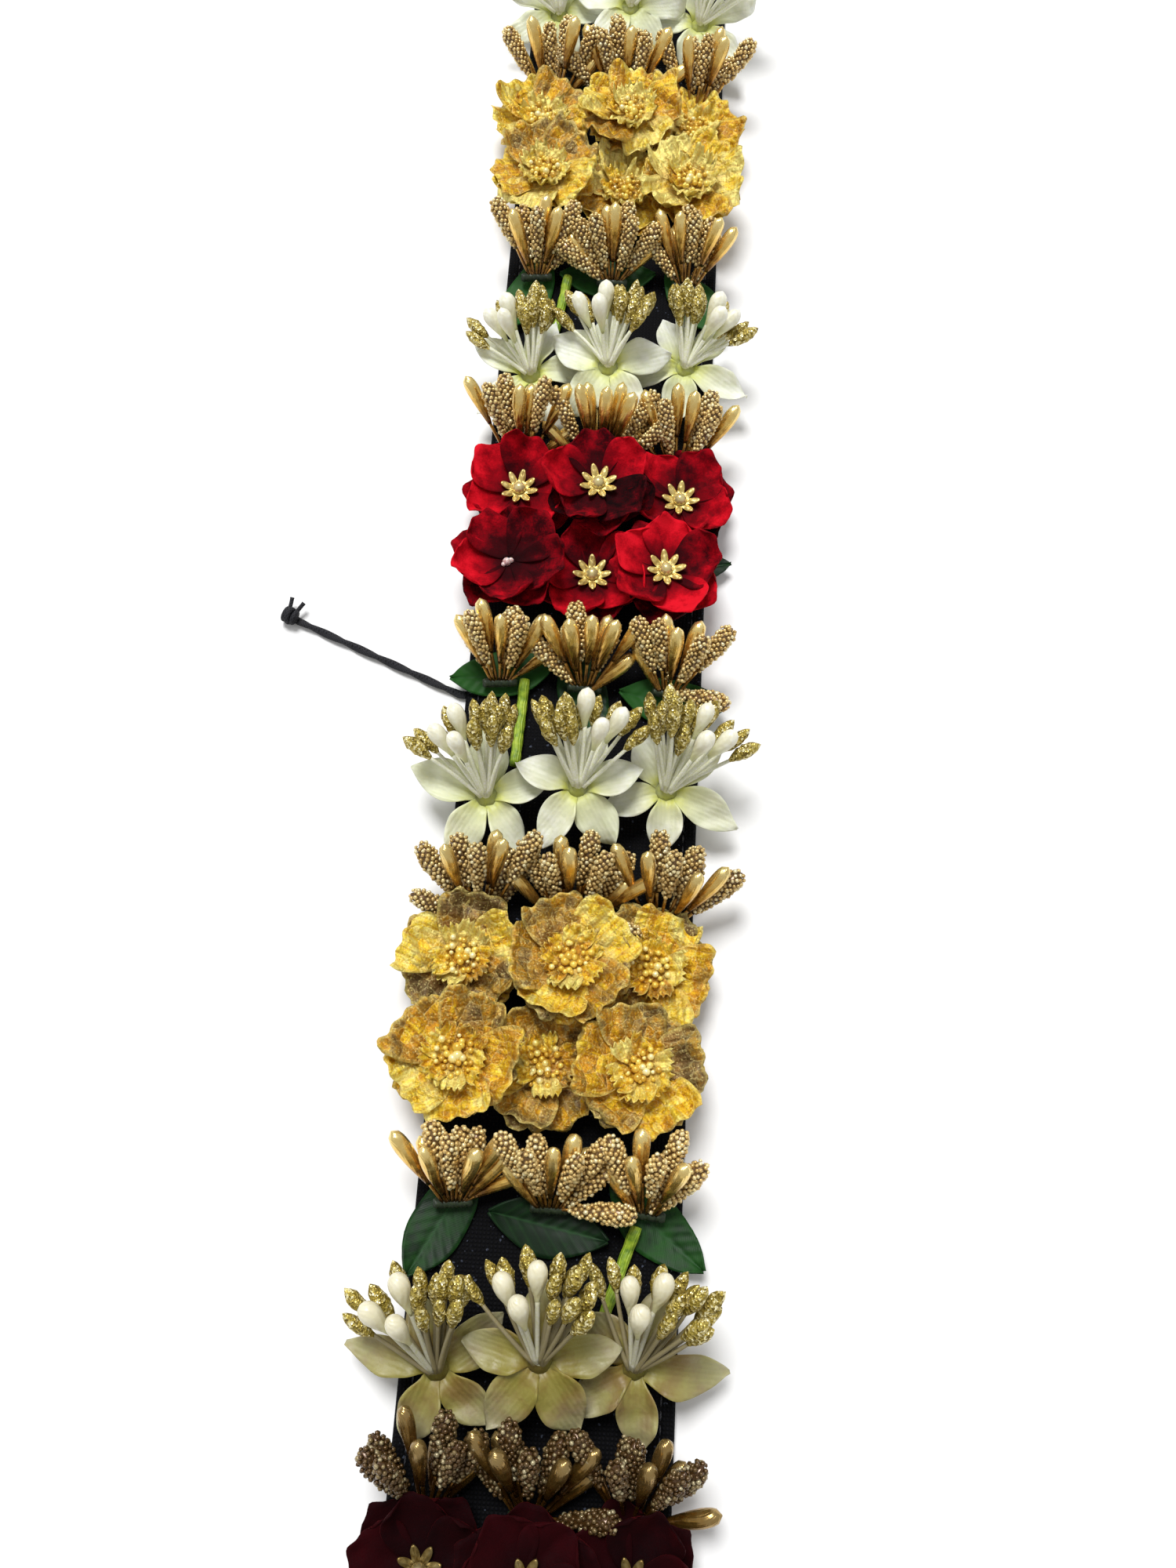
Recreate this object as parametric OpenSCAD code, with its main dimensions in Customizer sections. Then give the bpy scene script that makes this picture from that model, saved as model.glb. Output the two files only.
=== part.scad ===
// Floral braid ornament: a black band that lies along a plait, with rows of three across.
// One repeat, from the upper end down: jasmine with buds and stamens, pip sprays, two rows
// of gilt or velvet blooms, pip sprays on leaves. X is across, +Y the upper end, +Z up.
// Millimetres. The origin is the middle of the band's back face.

/* [Band] */
// Width of the backing band
band_w = 58; // [52:1:64]
// Thickness of the backing band
band_t = 2.4; // [1.6:0.2:3.2]
// Radius of the band's corners
band_corner = 9; // [4:1:16]
// Bare band beyond the first and last trimmings
band_end = 12; // [6:1:20]
// Distance between neighbours across the band
column_pitch = 20.7; // [20:0.1:22]
// Clearance between a glued piece and what it sits on
seat_gap = 0.12; // [0.08:0.01:0.2]

/* [Blooms] */
// Diameter of a gilt or velvet bloom over its petals
bloom_d = 25; // [23:0.5:27]
// Thickness of a bloom's petals
bloom_t = 1; // [0.8:0.1:1.2]
// Rise of a bloom's petal tips above its middle
bloom_rise = 4.6; // [3.6:0.2:5.4]
// Height of a lower bloom's middle above the band
bloom_h = 4.2; // [4:0.2:6]
// Diameter of the stalk under a bloom
stalk_d = 4; // [3:0.5:5]
// Distance between the two rows of blooms
bloom_row_pitch = 23; // [22:0.5:26]
// Diameter of the beads in the middle of a gilt bloom
bead_d = 2.8; // [2.2:0.1:3]
// Diameter of the star cap on a velvet bloom
star_d = 8.8; // [7:0.2:9.6]
// Thickness of the star cap
star_t = 0.8; // [0.6:0.1:1]
// Diameter of the pearl in the star cap
pearl_d = 4; // [3:0.2:4.6]

/* [Jasmine] */
// Diameter of a jasmine flower over its petal tips
jasmine_d = 32; // [29:0.5:34]
// Width of a jasmine petal
petal_w = 7.6; // [6.4:0.2:8.6]
// Thickness of a jasmine petal
petal_t = 1; // [0.8:0.1:1.2]
// Drop of the petal tips below the throat
petal_drop = 3.2; // [2.4:0.2:4]
// Height of a lower jasmine's throat above the band
jasmine_h = 8.8; // [8.4:0.2:11]
// Diameter of the tube under a jasmine flower
tube_d = 3.2; // [2.6:0.2:4]
// Lean of the jasmine's face towards the band's lower end
jasmine_lean = 12; // [8:1:14]
// Length of the longest stamen or bud from the throat
stamen_l = 23; // [20:0.5:24]
// Diameter of a bud
bud_d = 4.2; // [3.4:0.1:4.4]
// Length of a bud
bud_l = 9; // [7:0.5:10]
// Diameter of a stamen's gilt tip
anther_d = 2.4; // [1.8:0.1:2.6]
// Length of a stamen's gilt tip
anther_l = 6.5; // [5:0.5:8]
// Diameter of the filaments
filament_d = 0.8; // [0.6:0.1:0.9]

/* [Pips] */
// Length of a pip's head
pip_l = 12.5; // [10:0.5:13]
// Length of wire from the binding to the head
pip_wire_l = 7.5; // [6:0.5:8]
// Diameter of a smooth pip
smooth_d = 3.4; // [2.8:0.1:3.6]
// Diameter of a sugared pip
sugared_d = 4.8; // [4:0.1:5]
// Diameter of the wires
wire_d = 1; // [0.8:0.1:1.2]
// Diameter of the taped binding at a spray's foot
binding_d = 4.2; // [3.6:0.1:4.4]
// Slope of the lower pips above the band
pip_slope = 36; // [34:1:42]
// From the jasmine's petal tips to the feet of the sprays below them
spray_drop = 12; // [12:0.5:14]
// How far the feet of those sprays are tucked under the blooms
spray_tuck = 3; // [1:0.5:3.5]
// Clearance between the lower sprays' tips and the blooms' petals
tip_gap = 0.5; // [0.3:0.1:2]

/* [Leaves] */
// Length of a leaf
leaf_l = 26; // [22:1:28]
// Width of a leaf
leaf_w = 12.5; // [10:0.5:13]
// Thickness of a leaf
leaf_t = 1; // [0.8:0.1:1.2]
// Rise of a leaf's two ends
leaf_curl = 2; // [1.2:0.1:2.6]
// Length of the side leaves as a share of a leaf
side_leaf_share = 0.62; // [0.5:0.02:0.7]
// Leafy stretch between the lower sprays' feet and the next jasmine's petal tips
leaf_stretch = 15; // [13:0.5:20]
// Diameter of the green stems among the leaves
stem_d = 2.6; // [2:0.1:3]
// Length of the green stems
stem_l = 17; // [12:1:20]

/* [Tie] */
// Diameter of the doubled elastic tie
tie_d = 2; // [1.6:0.1:2.2]
// Diameter of the tie's knot
knot_d = 4.6; // [3.6:0.2:5.6]
// Length of the two cut ends beyond the knot
cut_end_l = 2.2; // [1:0.2:4]

/* [Hidden] */
$fa = 6;
$fs = 0.4;

bloom_r = bloom_d / 2;
jasmine_r = jasmine_d / 2;
// The throat is a short round boss that stands this high above and below the petals
throat_r = 3;
throat_h = 0.6;
// Slope of the lowest buds and stamens above the open face, of the tier above them, and
// the angle between neighbouring stamens
stamen_slope = 22;
stamen_tier_slope = 12;
stamen_fan_swing = 5.4;
// Distance between filaments where they leave their foot bar, and the bar's radius
filament_pitch = 1.25 * filament_d;
foot_r = 1.4 * filament_d;
// Outward swing of the bundles and sprays in the outer columns
bundle_swing = 18;
spray_swing = 6;
pip_reach = pip_l + pip_wire_l;
// Slope of the upper tier of pips above the lower one, and the angle between neighbours
pip_tier_slope = 16;
pip_fan_swing = 14;
// Width of a spray's binding, and the distance between its wires
binding_w = 2 * binding_d;
wire_pitch = 0.226 * binding_w;

// One row for each repeat: kind, slip of each jasmine down the band as a share of repeat_l,
// then as shares of column_pitch the jasmine columns and two rows of bloom columns, and
// last the side that each jasmine's buds are on
repeats = [
    ["gilt", [0, 0, 0], [-1, 0, 1], [[-1.1, 0.1, 1], [-1, 0.1, 0.97]], [-1, 1, 1]],
    ["velvet", [0.035, 0.028, -0.01], [-0.95, 0.02, 1], [[-0.97, 0, 1.02], [-1, 0, 0.87]], [-1, -1, 1]],
    ["gilt", [0, -0.02, -0.035], [-1.02, 0, 1], [[-1.14, 0.06, 0.94], [-1.1, -0.16, 0.85]], [-1, 1, 1]],
    ["velvet", [0.01, -0.015, -0.01], [-1, 0, 0.94], [[-1, 0, 1], [-0.97, 0.02, 0.96]], [-1, -1, -1]],
];
// The velvet bloom whose cap has come off: repeat, row, column
bare_bloom = [1, 1, 0];
// One list for each repeat, with a row for each leaf under a lower spray: column, shift
// across and along as shares of leaf_l, and heading
leaf_spots = [
    [[-1, -0.07, -0.15, 250], [0, -0.05, 0.13, 185], [1, 0.09, -0.1, 310]],
    [[-1, 0.02, 0.135, 193], [0, 0, -0.06, 285], [1, 0.04, -0.04, 355]],
    [[-1, -0.09, -0.14, 242], [0, 0, -0.14, 350], [1, 0.1, -0.1, 322]],
];
// One row for each small leaf under the flowers' edges: repeat, then place across as a
// share of column_pitch, place along as a share of repeat_l, and heading
side_leaves = [
    [0, -0.9, 0.155, 170],
    [1, 1.32, 0.44, 10],
    [1, -1.33, 0.3, 84],
];
// One row for each green stem: repeat, start across as a share of column_pitch, start
// below the bindings as a share of stem_l, and heading
stems = [
    [0, -0.62, 0, 262],
    [1, -0.72, 0, 268],
    [2, 0.84, 0.22, 252],
];

// Radius of the ball that rises by `rise` at `reach` from its lowest point
function ball_r(reach, rise) = (reach * reach + rise * rise) / (2 * rise);
// Height of a ball's surface above its lowest point, at a distance from its axis
function ball_z(radius, x) = radius - sqrt(radius * radius - x * x);
function gaps(xs) = [xs[1] - xs[0], xs[2] - xs[1]];

bloom_ball = ball_r(bloom_r, bloom_rise);
bloom_top = bloom_ball - sqrt(pow(bloom_ball - bloom_t, 2) - bloom_r * bloom_r);
closest_blooms = column_pitch * min([for (r = repeats) for (xs = r[3]) min(gaps(xs))]);
// Every second bloom is raised, so that its petals lie over its neighbours'
bloom_lift = bloom_top - ball_z(bloom_ball, max(0, closest_blooms - bloom_r)) + seat_gap;

petal_ball = ball_r(jasmine_r, petal_drop);
closest_jasmine = column_pitch * min([for (r = repeats) min(gaps(r[2]))]);
petal_tip = petal_ball - sqrt(pow(petal_ball - petal_t, 2) - jasmine_r * jasmine_r);
// The middle jasmine is raised over the petals beside it
jasmine_lift = (petal_tip - ball_z(petal_ball, closest_jasmine - jasmine_r) + seat_gap)
    / cos(jasmine_lean);

pip_over = (pip_reach - sugared_d / 2) * cos(pip_slope) + sugared_d / 2;

// Distances down one repeat from its jasmine row
upper_spray_at = jasmine_r + spray_drop;
bloom_row_at = upper_spray_at + bloom_r - spray_tuck;
lower_spray_at = bloom_row_at + bloom_row_pitch + bloom_r + pip_over + tip_gap;
repeat_l = lower_spray_at + leaf_stretch + jasmine_r;
stamen_over = stamen_l * cos(stamen_slope + jasmine_lean);
last = len(repeats) - 1;
band_l = stamen_over + last * repeat_l + lower_spray_at + binding_d / 2 + 2 * band_end;
first_y = band_l / 2 - band_end - stamen_over;
floor_z = band_t + seat_gap;

leaf_ball = ball_r(leaf_l / 2, leaf_curl);
leaf_shift = leaf_l * max([for (spots = leaf_spots, s = spots) norm([s[1], s[2]])]);
// The green stems start just past the lower sprays' bindings
stem_at = lower_spray_at + binding_d / 2 + stem_d / 2 + seat_gap;
// The lower sprays' bindings lie on the leaves
lower_seat = leaf_t + seat_gap + ball_z(leaf_ball, binding_w / 2 + leaf_shift);

// Hand-laid route of the tie from the band's edge to its knot, lying on the surface
tie_route = [[-29, 5, 1.2], [-30.5, 5, 1.2], [-34, 6.4, 1.1], [-40, 8.8, 1.1],
    [-46, 11.2, 1.1], [-52, 13.6, 1.1], [-58, 16, 1.1], [-64, 18.4, 1.1],
    [-70, 20.8, 1.1], [-73, 22, 1.1]];

function two_digits(i) = str(i < 10 ? "0" : "", i);
function numbered(name, count) = [for (i = [1:count]) str(name, "_", two_digits(i))];
function is_kind(kind) = [for (i = [0:last]) if (repeats[i][0] == kind) i];
function row_y(i, along) = first_y - i * repeat_l - along;
leafy = [for (i = [0:last - 1]) i];

// Pointed outline, `l` long along X and `w` wide
module lens(l, w) {
    arc = ball_r(l / 2, w / 2);
    intersection() {
        translate([0, arc - w / 2]) circle(arc);
        translate([0, w / 2 - arc]) circle(arc);
    }
}

// Ball-shaped sheet whose lowest point is the origin
module ball_sheet(radius, t) {
    translate([0, 0, radius])
        difference() {
            sphere(radius);
            sphere(radius - t);
        }
}

// Teardrop head on a straight wire that stands on the origin, turned from one outline
module pin(l, head_l, head_d, shaft_d) {
    head_r = head_d / 2;
    rotate_extrude() {
        polygon([[0, 0], [shaft_d / 2, 0], [shaft_d / 2, l - head_l], [head_r, l - head_r],
            [0, l - head_r]]);
        intersection() {
            translate([0, l - head_r]) circle(head_r);
            translate([0, l - head_r]) square(head_r);
        }
    }
}

// Turns a standing pin to point up along the band, swung aside by `swing`
module lay(swing, slope) {
    rotate([0, 0, -swing]) rotate([slope - 90, 0, 0]) children();
}

module backing_band() {
    x = band_w / 2 - band_corner;
    y = band_l / 2 - band_corner;
    color("#15151a")
        linear_extrude(band_t) {
            square([band_w, 2 * y], center = true);
            square([2 * x, band_l], center = true);
            for (i = [-1, 1], j = [-1, 1]) translate([i * x, j * y]) circle(band_corner);
        }
}

// A cupped bloom of five lobes on its stalk, standing on the origin
module bloom(lift, lobe_share, middle_share) {
    lobe_r = lobe_share * bloom_r;
    translate([0, 0, bloom_h + lift]) {
        intersection() {
            ball_sheet(bloom_ball, bloom_t);
            linear_extrude(bloom_top + bloom_t) {
                circle(middle_share * bloom_r);
                for (k = [0:4])
                    rotate(72 * k) translate([bloom_r - lobe_r, 0]) circle(lobe_r);
            }
        }
    }
    cylinder(h = bloom_h + lift + bloom_t / 2, r = stalk_d / 2);
}

// The ring of beads in a gilt bloom's middle, fused to its petals
module bead_ring(lift) {
    ring_r = bead_d * 1.05;
    translate([0, 0, bloom_h + lift + bloom_t + bead_d * 0.3]) {
        sphere(bead_d * 0.45);
        for (k = [0:4]) rotate(72 * k + 36) translate([ring_r, 0, 0.2]) sphere(bead_d / 2);
    }
}

// Place, height and turn of one bloom in a repeat
module at_bloom(i, row, col) {
    x = repeats[i][3][row][col] * column_pitch;
    y = row_y(i, bloom_row_at + row * bloom_row_pitch);
    translate([x, y, floor_z]) rotate([0, 0, 90 + 24 * (row + 1) * (col - 1) + 11 * i])
        children();
}

function bloom_raise(row, col) = (row + col) % 2 == 1 ? bloom_lift : 0;

module gold_flower(i, row, col) {
    color("#d9a93a")
        at_bloom(i, row, col) {
            bloom(bloom_raise(row, col), 0.5, 0.62);
            bead_ring(bloom_raise(row, col));
        }
}

module red_flower(i, row, col) {
    color("#a80f1c") at_bloom(i, row, col) bloom(bloom_raise(row, col), 0.44, 0.56);
}

// Star-shaped cap with its pearl, lowest point at the origin
module star_cap() {
    points = 8;
    ball = ball_r(star_d / 2, 0.2 * star_d);
    intersection() {
        ball_sheet(ball, star_t);
        linear_extrude(star_d / 2) {
            circle(0.32 * star_d);
            for (k = [0:points - 1])
                rotate(k * 360 / points)
                    polygon([[0, -0.15 * star_d], [star_d / 2, 0], [0, 0.15 * star_d]]);
        }
    }
    translate([0, 0, star_t / 2 + 0.45 * pearl_d]) sphere(pearl_d / 2);
}

module star_caps() {
    color("#e0b34a")
        for (i = is_kind("velvet"), row = [0, 1], col = [0:2])
            if ([i, row, col] != bare_bloom)
                at_bloom(i, row, col)
                    translate([0, 0, bloom_h + bloom_raise(row, col) + bloom_t + seat_gap])
                        star_cap();
}

// Frame of one jasmine's throat, leaning towards the band's lower end
module at_throat(i, col) {
    lift = col == 1 ? jasmine_lift : 0;
    translate([repeats[i][2][col] * column_pitch, row_y(i, repeats[i][1][col] * repeat_l), floor_z])
        translate([0, 0, jasmine_h + lift]) rotate([jasmine_lean, 0, 0]) children();
}

module white_flower(i, col) {
    turn = col == 1 ? 90 : 90 + 16 * (col - 1) + 9 * i;
    color("#f2efdd") {
        at_throat(i, col) {
            rotate(turn)
                intersection() {
                    mirror([0, 0, 1]) ball_sheet(petal_ball, petal_t);
                    translate([0, 0, -jasmine_r / 2])
                        linear_extrude(jasmine_r)
                            for (k = [0:4])
                                rotate(72 * k) translate([jasmine_r / 2, 0]) lens(jasmine_r, petal_w);
                }
            translate([0, 0, -petal_t - throat_h])
                cylinder(h = petal_t + 2 * throat_h, r = throat_r);
        }
        translate([repeats[i][2][col] * column_pitch, row_y(i, repeats[i][1][col] * repeat_l), floor_z])
            cylinder(h = jasmine_h + (col == 1 ? jasmine_lift : 0) - throat_h, r = tube_d / 2);
    }
}

// Foot bar of a bundle in the throat, `count` stems wide, on the bundle's side
module bundle_foot(side, count, start) {
    w = (count + 0.6) * filament_pitch;
    translate([side * (start + (count - 1) / 2 * filament_pitch), 0, 0])
        rotate([0, 90, 0]) cylinder(h = w, r = foot_r, center = true);
}

// Frame in which a bundle's foot rests on the throat, swung outwards in the outer columns
module at_bundle(i, col) {
    at_throat(i, col)
        translate([0, 0, throat_h + seat_gap + foot_r]) rotate([0, 0, -bundle_swing * (col - 1)])
            children();
}

// White buds on one side of the throat: two low and one high
module bud_spray(side) {
    start = 1.9 * filament_d;
    bundle_foot(side, 2, start);
    // Columns: place in the foot, swing, slope, share of stamen_l
    for (b = [[0, 3, 0, 0.98], [1, 15, 0, 0.9], [0.5, 8, 13, 0.86]])
        translate([side * (start + b[0] * filament_pitch), 0, 0])
            lay(side * b[1], stamen_slope + b[2]) pin(b[3] * stamen_l, bud_l, bud_d, filament_d);
}

// Gilt stamens on the other side of the throat: four low and three high
module stamen_bunch(side) {
    start = 0.75 * filament_d;
    bundle_foot(side, 4, start);
    for (k = [0:3])
        translate([side * (start + k * filament_pitch), 0, 0])
            lay(side * (k + 0.3) * stamen_fan_swing, stamen_slope)
                pin(stamen_l * (k % 2 == 0 ? 0.97 : 0.88), anther_l, anther_d, filament_d);
    for (k = [0:2])
        translate([side * (start + (k + 0.5) * filament_pitch), 0, 0])
            lay(side * (k + 0.7) * stamen_fan_swing, stamen_slope + stamen_tier_slope)
                pin(stamen_l * (k % 2 == 0 ? 0.9 : 0.98), anther_l, anther_d, filament_d);
}

module bud_spray_row(i) {
    color("#f4f1e2")
        for (col = [0:2]) at_bundle(i, col) bud_spray(repeats[i][4][col]);
}

module stamen_row(i) {
    color("#b8973a")
        for (col = [0:2]) at_bundle(i, col) stamen_bunch(-repeats[i][4][col]);
}

// Seven pips bound together: four low, three high
module pip_spray(shift) {
    rotate([0, 90, 0]) cylinder(h = binding_w, r = binding_d / 2, center = true);
    for (k = [0:3])
        translate([(k - 1.5) * wire_pitch, 0, 0])
            lay((k - 1.5) * pip_fan_swing, pip_slope)
                pin(pip_reach * ((k + shift) % 3 == 0 ? 0.92 : 1), pip_l,
                    (k + shift) % 3 == 1 ? smooth_d : sugared_d, wire_d);
    for (k = [0:2])
        translate([(k - 1) * wire_pitch, 0, 0])
            lay((k - 1) * pip_fan_swing, pip_slope + pip_tier_slope)
                pin(0.94 * pip_reach, pip_l, (k + shift) % 2 == 0 ? smooth_d : 0.88 * sugared_d,
                    wire_d);
}

module pip_row(i, along, seat, shift) {
    color("#c9a15a")
        for (col = [0:2])
            translate([(col - 1) * column_pitch, row_y(i, along), floor_z + seat + binding_d / 2])
                rotate([0, 0, -spray_swing * (col - 1)]) pip_spray(shift + col);
}

// A leaf whose two ends curl up, lowest along its middle line
module leaf(l, w) {
    intersection() {
        linear_extrude(leaf_curl + 2 * leaf_t) lens(l, w);
        translate([0, 0, leaf_ball]) rotate([90, 0, 0])
            difference() {
                cylinder(h = 2 * w, r = leaf_ball, center = true);
                cylinder(h = 2 * w + 2, r = leaf_ball - leaf_t, center = true);
            }
    }
}

module leaf_row(i) {
    color("#1d4a26") {
        for (s = leaf_spots[i])
            translate([s[0] * column_pitch + s[1] * leaf_l,
                    row_y(i, lower_spray_at) + s[2] * leaf_l, floor_z])
                rotate([0, 0, s[3]]) leaf(leaf_l, leaf_w);
        for (s = side_leaves)
            if (s[0] == i)
                translate([s[1] * column_pitch, row_y(i, s[2] * repeat_l), floor_z])
                    rotate([0, 0, s[3]]) leaf(side_leaf_share * leaf_l, side_leaf_share * leaf_w);
    }
    color("#7fa23a")
        for (s = stems)
            if (s[0] == i)
                translate([s[1] * column_pitch, row_y(i, stem_at + s[2] * stem_l), floor_z + stem_d / 2])
                    rotate([0, 0, s[3]]) rotate([0, 90, 0]) cylinder(h = stem_l, r = stem_d / 2);
}

function unit(v) = v / norm(v);
// Direction of the route at point i
function heading(route, i) = unit(route[min(i + 1, len(route) - 1)] - route[max(i - 1, 0)]);
// Ring of `sides` points round route point i, square to the route
function ring(route, i, r, sides) =
    let (ahead = i == 0 ? unit(route[1] - route[0]) : heading(route, i),
        across = unit(cross(ahead, [0, 0, 1])),
        up = cross(across, ahead))
    [for (k = [0:sides - 1])
        route[i] + r * (cos((k + 0.5) * 360 / sides) * across + sin((k + 0.5) * 360 / sides) * up)];

module tube(route, r, sides) {
    count = len(route);
    points = [for (i = [0:count - 1]) each ring(route, i, r, sides)];
    walls = [for (i = [0:count - 2], k = [0:sides - 1])
        let (a = i * sides + k, b = i * sides + (k + 1) % sides)
        [a, b, b + sides, a + sides]];
    ends = [[for (k = [sides - 1:-1:0]) k], [for (k = [0:sides - 1]) (count - 1) * sides + k]];
    polyhedron(points, concat(walls, ends), convexity = 4);
}

module tie_cord() {
    color("#0d0d0f") tube(tie_route, tie_d / 2, 8);
}

// Knot that meets the tie's flat end with a flat face of its own
module tie_knot() {
    tie_end = tie_route[len(tie_route) - 1];
    ahead = heading(tie_route, len(tie_route) - 1);
    color("#0d0d0f")
        translate([tie_end[0], tie_end[1], knot_d / 2])
            rotate([0, 0, atan2(ahead[1], ahead[0])]) {
                rotate([0, 90, 0]) cylinder(h = 0.8 * knot_d, r = 0.4 * knot_d);
                translate([0.42 * knot_d, 0, 0]) rotate([0, 90, 0])
                    rotate_extrude() translate([0.3 * knot_d, 0]) circle(0.2 * knot_d);
                for (side = [-1, 1])
                    translate([(0.42 + 0.2 * side) * knot_d, -0.2 * knot_d, 0])
                        rotate([75, 0, 14 * side])
                            cylinder(h = 0.3 * knot_d + cut_end_l, r = tie_d / 4);
            }
}

backing_band();
for (i = [0:last], col = [0:2]) {
    name = str("white_flower_", two_digits(3 * i + col + 1));
    white_flower(i, col);
}
for (n = [0:len(is_kind("gilt")) - 1], row = [0, 1], col = [0:2]) {
    name = str("gold_flower_", two_digits(6 * n + 3 * row + col + 1));
    gold_flower(is_kind("gilt")[n], row, col);
}
for (n = [0:len(is_kind("velvet")) - 1], row = [0, 1], col = [0:2]) {
    name = str("red_flower_", two_digits(6 * n + 3 * row + col + 1));
    red_flower(is_kind("velvet")[n], row, col);
}
for (i = [0:last]) {
    bud_spray_row(i);
    stamen_row(i);
    pip_row(i, upper_spray_at, 0, i);
    pip_row(i, lower_spray_at, i < last ? lower_seat : 0, i + 2);
}
for (i = leafy)
    leaf_row(i);
star_caps();
tie_cord();
tie_knot();
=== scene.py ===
import math
from collections import namedtuple
from types import SimpleNamespace

import bpy
import numpy as np
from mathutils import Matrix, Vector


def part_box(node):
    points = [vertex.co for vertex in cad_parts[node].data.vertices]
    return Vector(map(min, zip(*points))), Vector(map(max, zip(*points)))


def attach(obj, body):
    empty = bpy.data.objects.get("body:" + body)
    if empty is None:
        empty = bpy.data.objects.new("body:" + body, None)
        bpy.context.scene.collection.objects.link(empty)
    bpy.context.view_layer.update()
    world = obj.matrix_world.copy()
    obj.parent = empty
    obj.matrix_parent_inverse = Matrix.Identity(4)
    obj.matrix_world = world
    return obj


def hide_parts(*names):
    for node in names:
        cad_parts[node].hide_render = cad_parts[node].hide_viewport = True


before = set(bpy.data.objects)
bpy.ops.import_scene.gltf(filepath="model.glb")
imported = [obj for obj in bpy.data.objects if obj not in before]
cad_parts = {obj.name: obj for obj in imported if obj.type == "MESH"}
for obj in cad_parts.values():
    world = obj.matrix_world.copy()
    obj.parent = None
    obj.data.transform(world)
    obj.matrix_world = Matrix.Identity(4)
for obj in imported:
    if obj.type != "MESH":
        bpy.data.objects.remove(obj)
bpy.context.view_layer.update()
MM = 0.001

# Sizes that the part's source gives, in millimetres and degrees
COLUMN_PITCH = 20.7
SEAT_GAP = 0.12
BAND_W, BAND_T, BAND_CORNER, BAND_END = 58, 2.4, 9, 12
BLOOM_R, BLOOM_T, BLOOM_RISE, BLOOM_ROW_PITCH, STALK_D = 12.5, 1, 4.6, 23, 4
STAR_D, PEARL_D = 8.8, 4
JASMINE_R, PETAL_W, PETAL_T, PETAL_DROP, JASMINE_H = 16, 7.6, 1, 3.2, 8.8
TUBE_D, JASMINE_LEAN, THROAT_H = 3.2, 12, 0.6
STAMEN_L, BUD_D, BUD_L, ANTHER_D, ANTHER_L, FILAMENT_D = 23, 4.2, 9, 2.4, 6.5, 0.8
STAMEN_SLOPE, STAMEN_TIER, STAMEN_FAN, BUNDLE_SWING = 22, 12, 5.4, 18
PIP_L, PIP_WIRE_L, SMOOTH_D, SUGARED_D, WIRE_D, BINDING_D = 12.5, 7.5, 3.4, 4.8, 1, 4.2
PIP_SLOPE, PIP_TIER, PIP_FAN, SPRAY_SWING = 36, 16, 14, 6
SPRAY_DROP, SPRAY_TUCK, TIP_GAP = 12, 3, 0.5
LEAF_L, LEAF_W, LEAF_CURL, SIDE_LEAF, LEAF_STRETCH = 26, 12.5, 2, 0.62, 15
STEM_D, STEM_L = 2.6, 17
TIE_D, KNOT_D = 2, 4.6
PITCH = 1.25 * FILAMENT_D
FOOT_R = 1.4 * FILAMENT_D
BINDING_W = 2 * BINDING_D
WIRE_PITCH = 0.226 * BINDING_W
PIP_REACH = PIP_L + PIP_WIRE_L
FLOOR_Z = BAND_T + SEAT_GAP

# A repeat: its blooms, where its jasmine stands along and across it, where both rows of blooms stand,
# which side the buds take, its bundles' rise and span, its blooms' shade and its painted shade, a falloff
# of light painted darker towards the repeat at the band's end nearest the camera
Repeat = namedtuple("Repeat", "kind along across blooms bud_side rise span shade tone")
REPEATS = [
    Repeat("gilt", (0, 0, 0), (-1, 0, 1), ((-1.1, 0.1, 1), (-1, 0.1, 0.97)), (-1, 1, 1), 0, 1, 0.24, 0.0),
    Repeat("velvet", (0.035, 0.028, -0.01), (-0.95, 0.02, 1), ((-0.97, 0, 1.02), (-1, 0, 0.87)),
           (-1, -1, 1), -10, 0.88, 0, 0.05),
    Repeat("gilt", (0, -0.02, -0.035), (-1.02, 0, 1), ((-1.14, 0.06, 0.94), (-1.1, -0.16, 0.85)),
           (-1, 1, 1), -3, 1, -0.02, 0.2),
    Repeat("velvet", (0.01, -0.015, -0.01), (-1, 0, 0.94), ((-1, 0, 1), (-0.97, 0.02, 0.96)),
           (-1, -1, -1), -8, 1.03, 0, 1.0),
]
COLUMNS = range(3)
BARE_BLOOM = (1, 1, 0)
# Leaves: column, place across and along in leaf lengths, heading. The other lists start with a row.
LEAF_SPOTS = [
    ((-1, -0.07, -0.15, 250), (0, -0.05, 0.13, 185), (1, 0.09, -0.1, 310)),
    ((-1, 0.02, 0.135, 193), (0, 0, -0.06, 285), (1, 0.04, -0.04, 355)),
    ((-1, -0.09, -0.14, 242), (0, 0, -0.14, 350), (1, 0.1, -0.1, 322)),
]
# Painted light: leaves of the first two rows are lifted against the shadow of the pips above them
LEAF_PAINTED_LIGHT = (0.45, 0.35, 0)
SIDE_LEAVES = [(0, -0.9, 0.155, 170), (1, 1.32, 0.44, 10), (1, -1.33, 0.3, 84)]
STEMS = [(0, -0.62, 0, 262), (1, -0.72, 0, 268), (2, 0.84, 0.22, 252)]
TIE_ROUTE = [(-29, 5, 1.2), (-30.5, 5, 1.2), (-34, 6.4, 1.1), (-40, 8.8, 1.1), (-46, 11.2, 1.1),
             (-52, 13.6, 1.1), (-58, 16, 1.1), (-64, 18.4, 1.1), (-70, 20.8, 1.1), (-73, 22, 1.1)]
UP = np.array([0, 0, 1.0])
PI = math.pi
GOLDEN_TURN = 2.39996
PATCHES = 50


def cosd(a):
    return math.cos(math.radians(a))


def sind(a):
    return math.sin(math.radians(a))


def ball_r(reach, rise):
    return (reach * reach + rise * rise) / (2 * rise)


def ball_z(radius, x):
    return radius - np.sqrt(np.maximum(radius * radius - np.square(x), 0))


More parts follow.
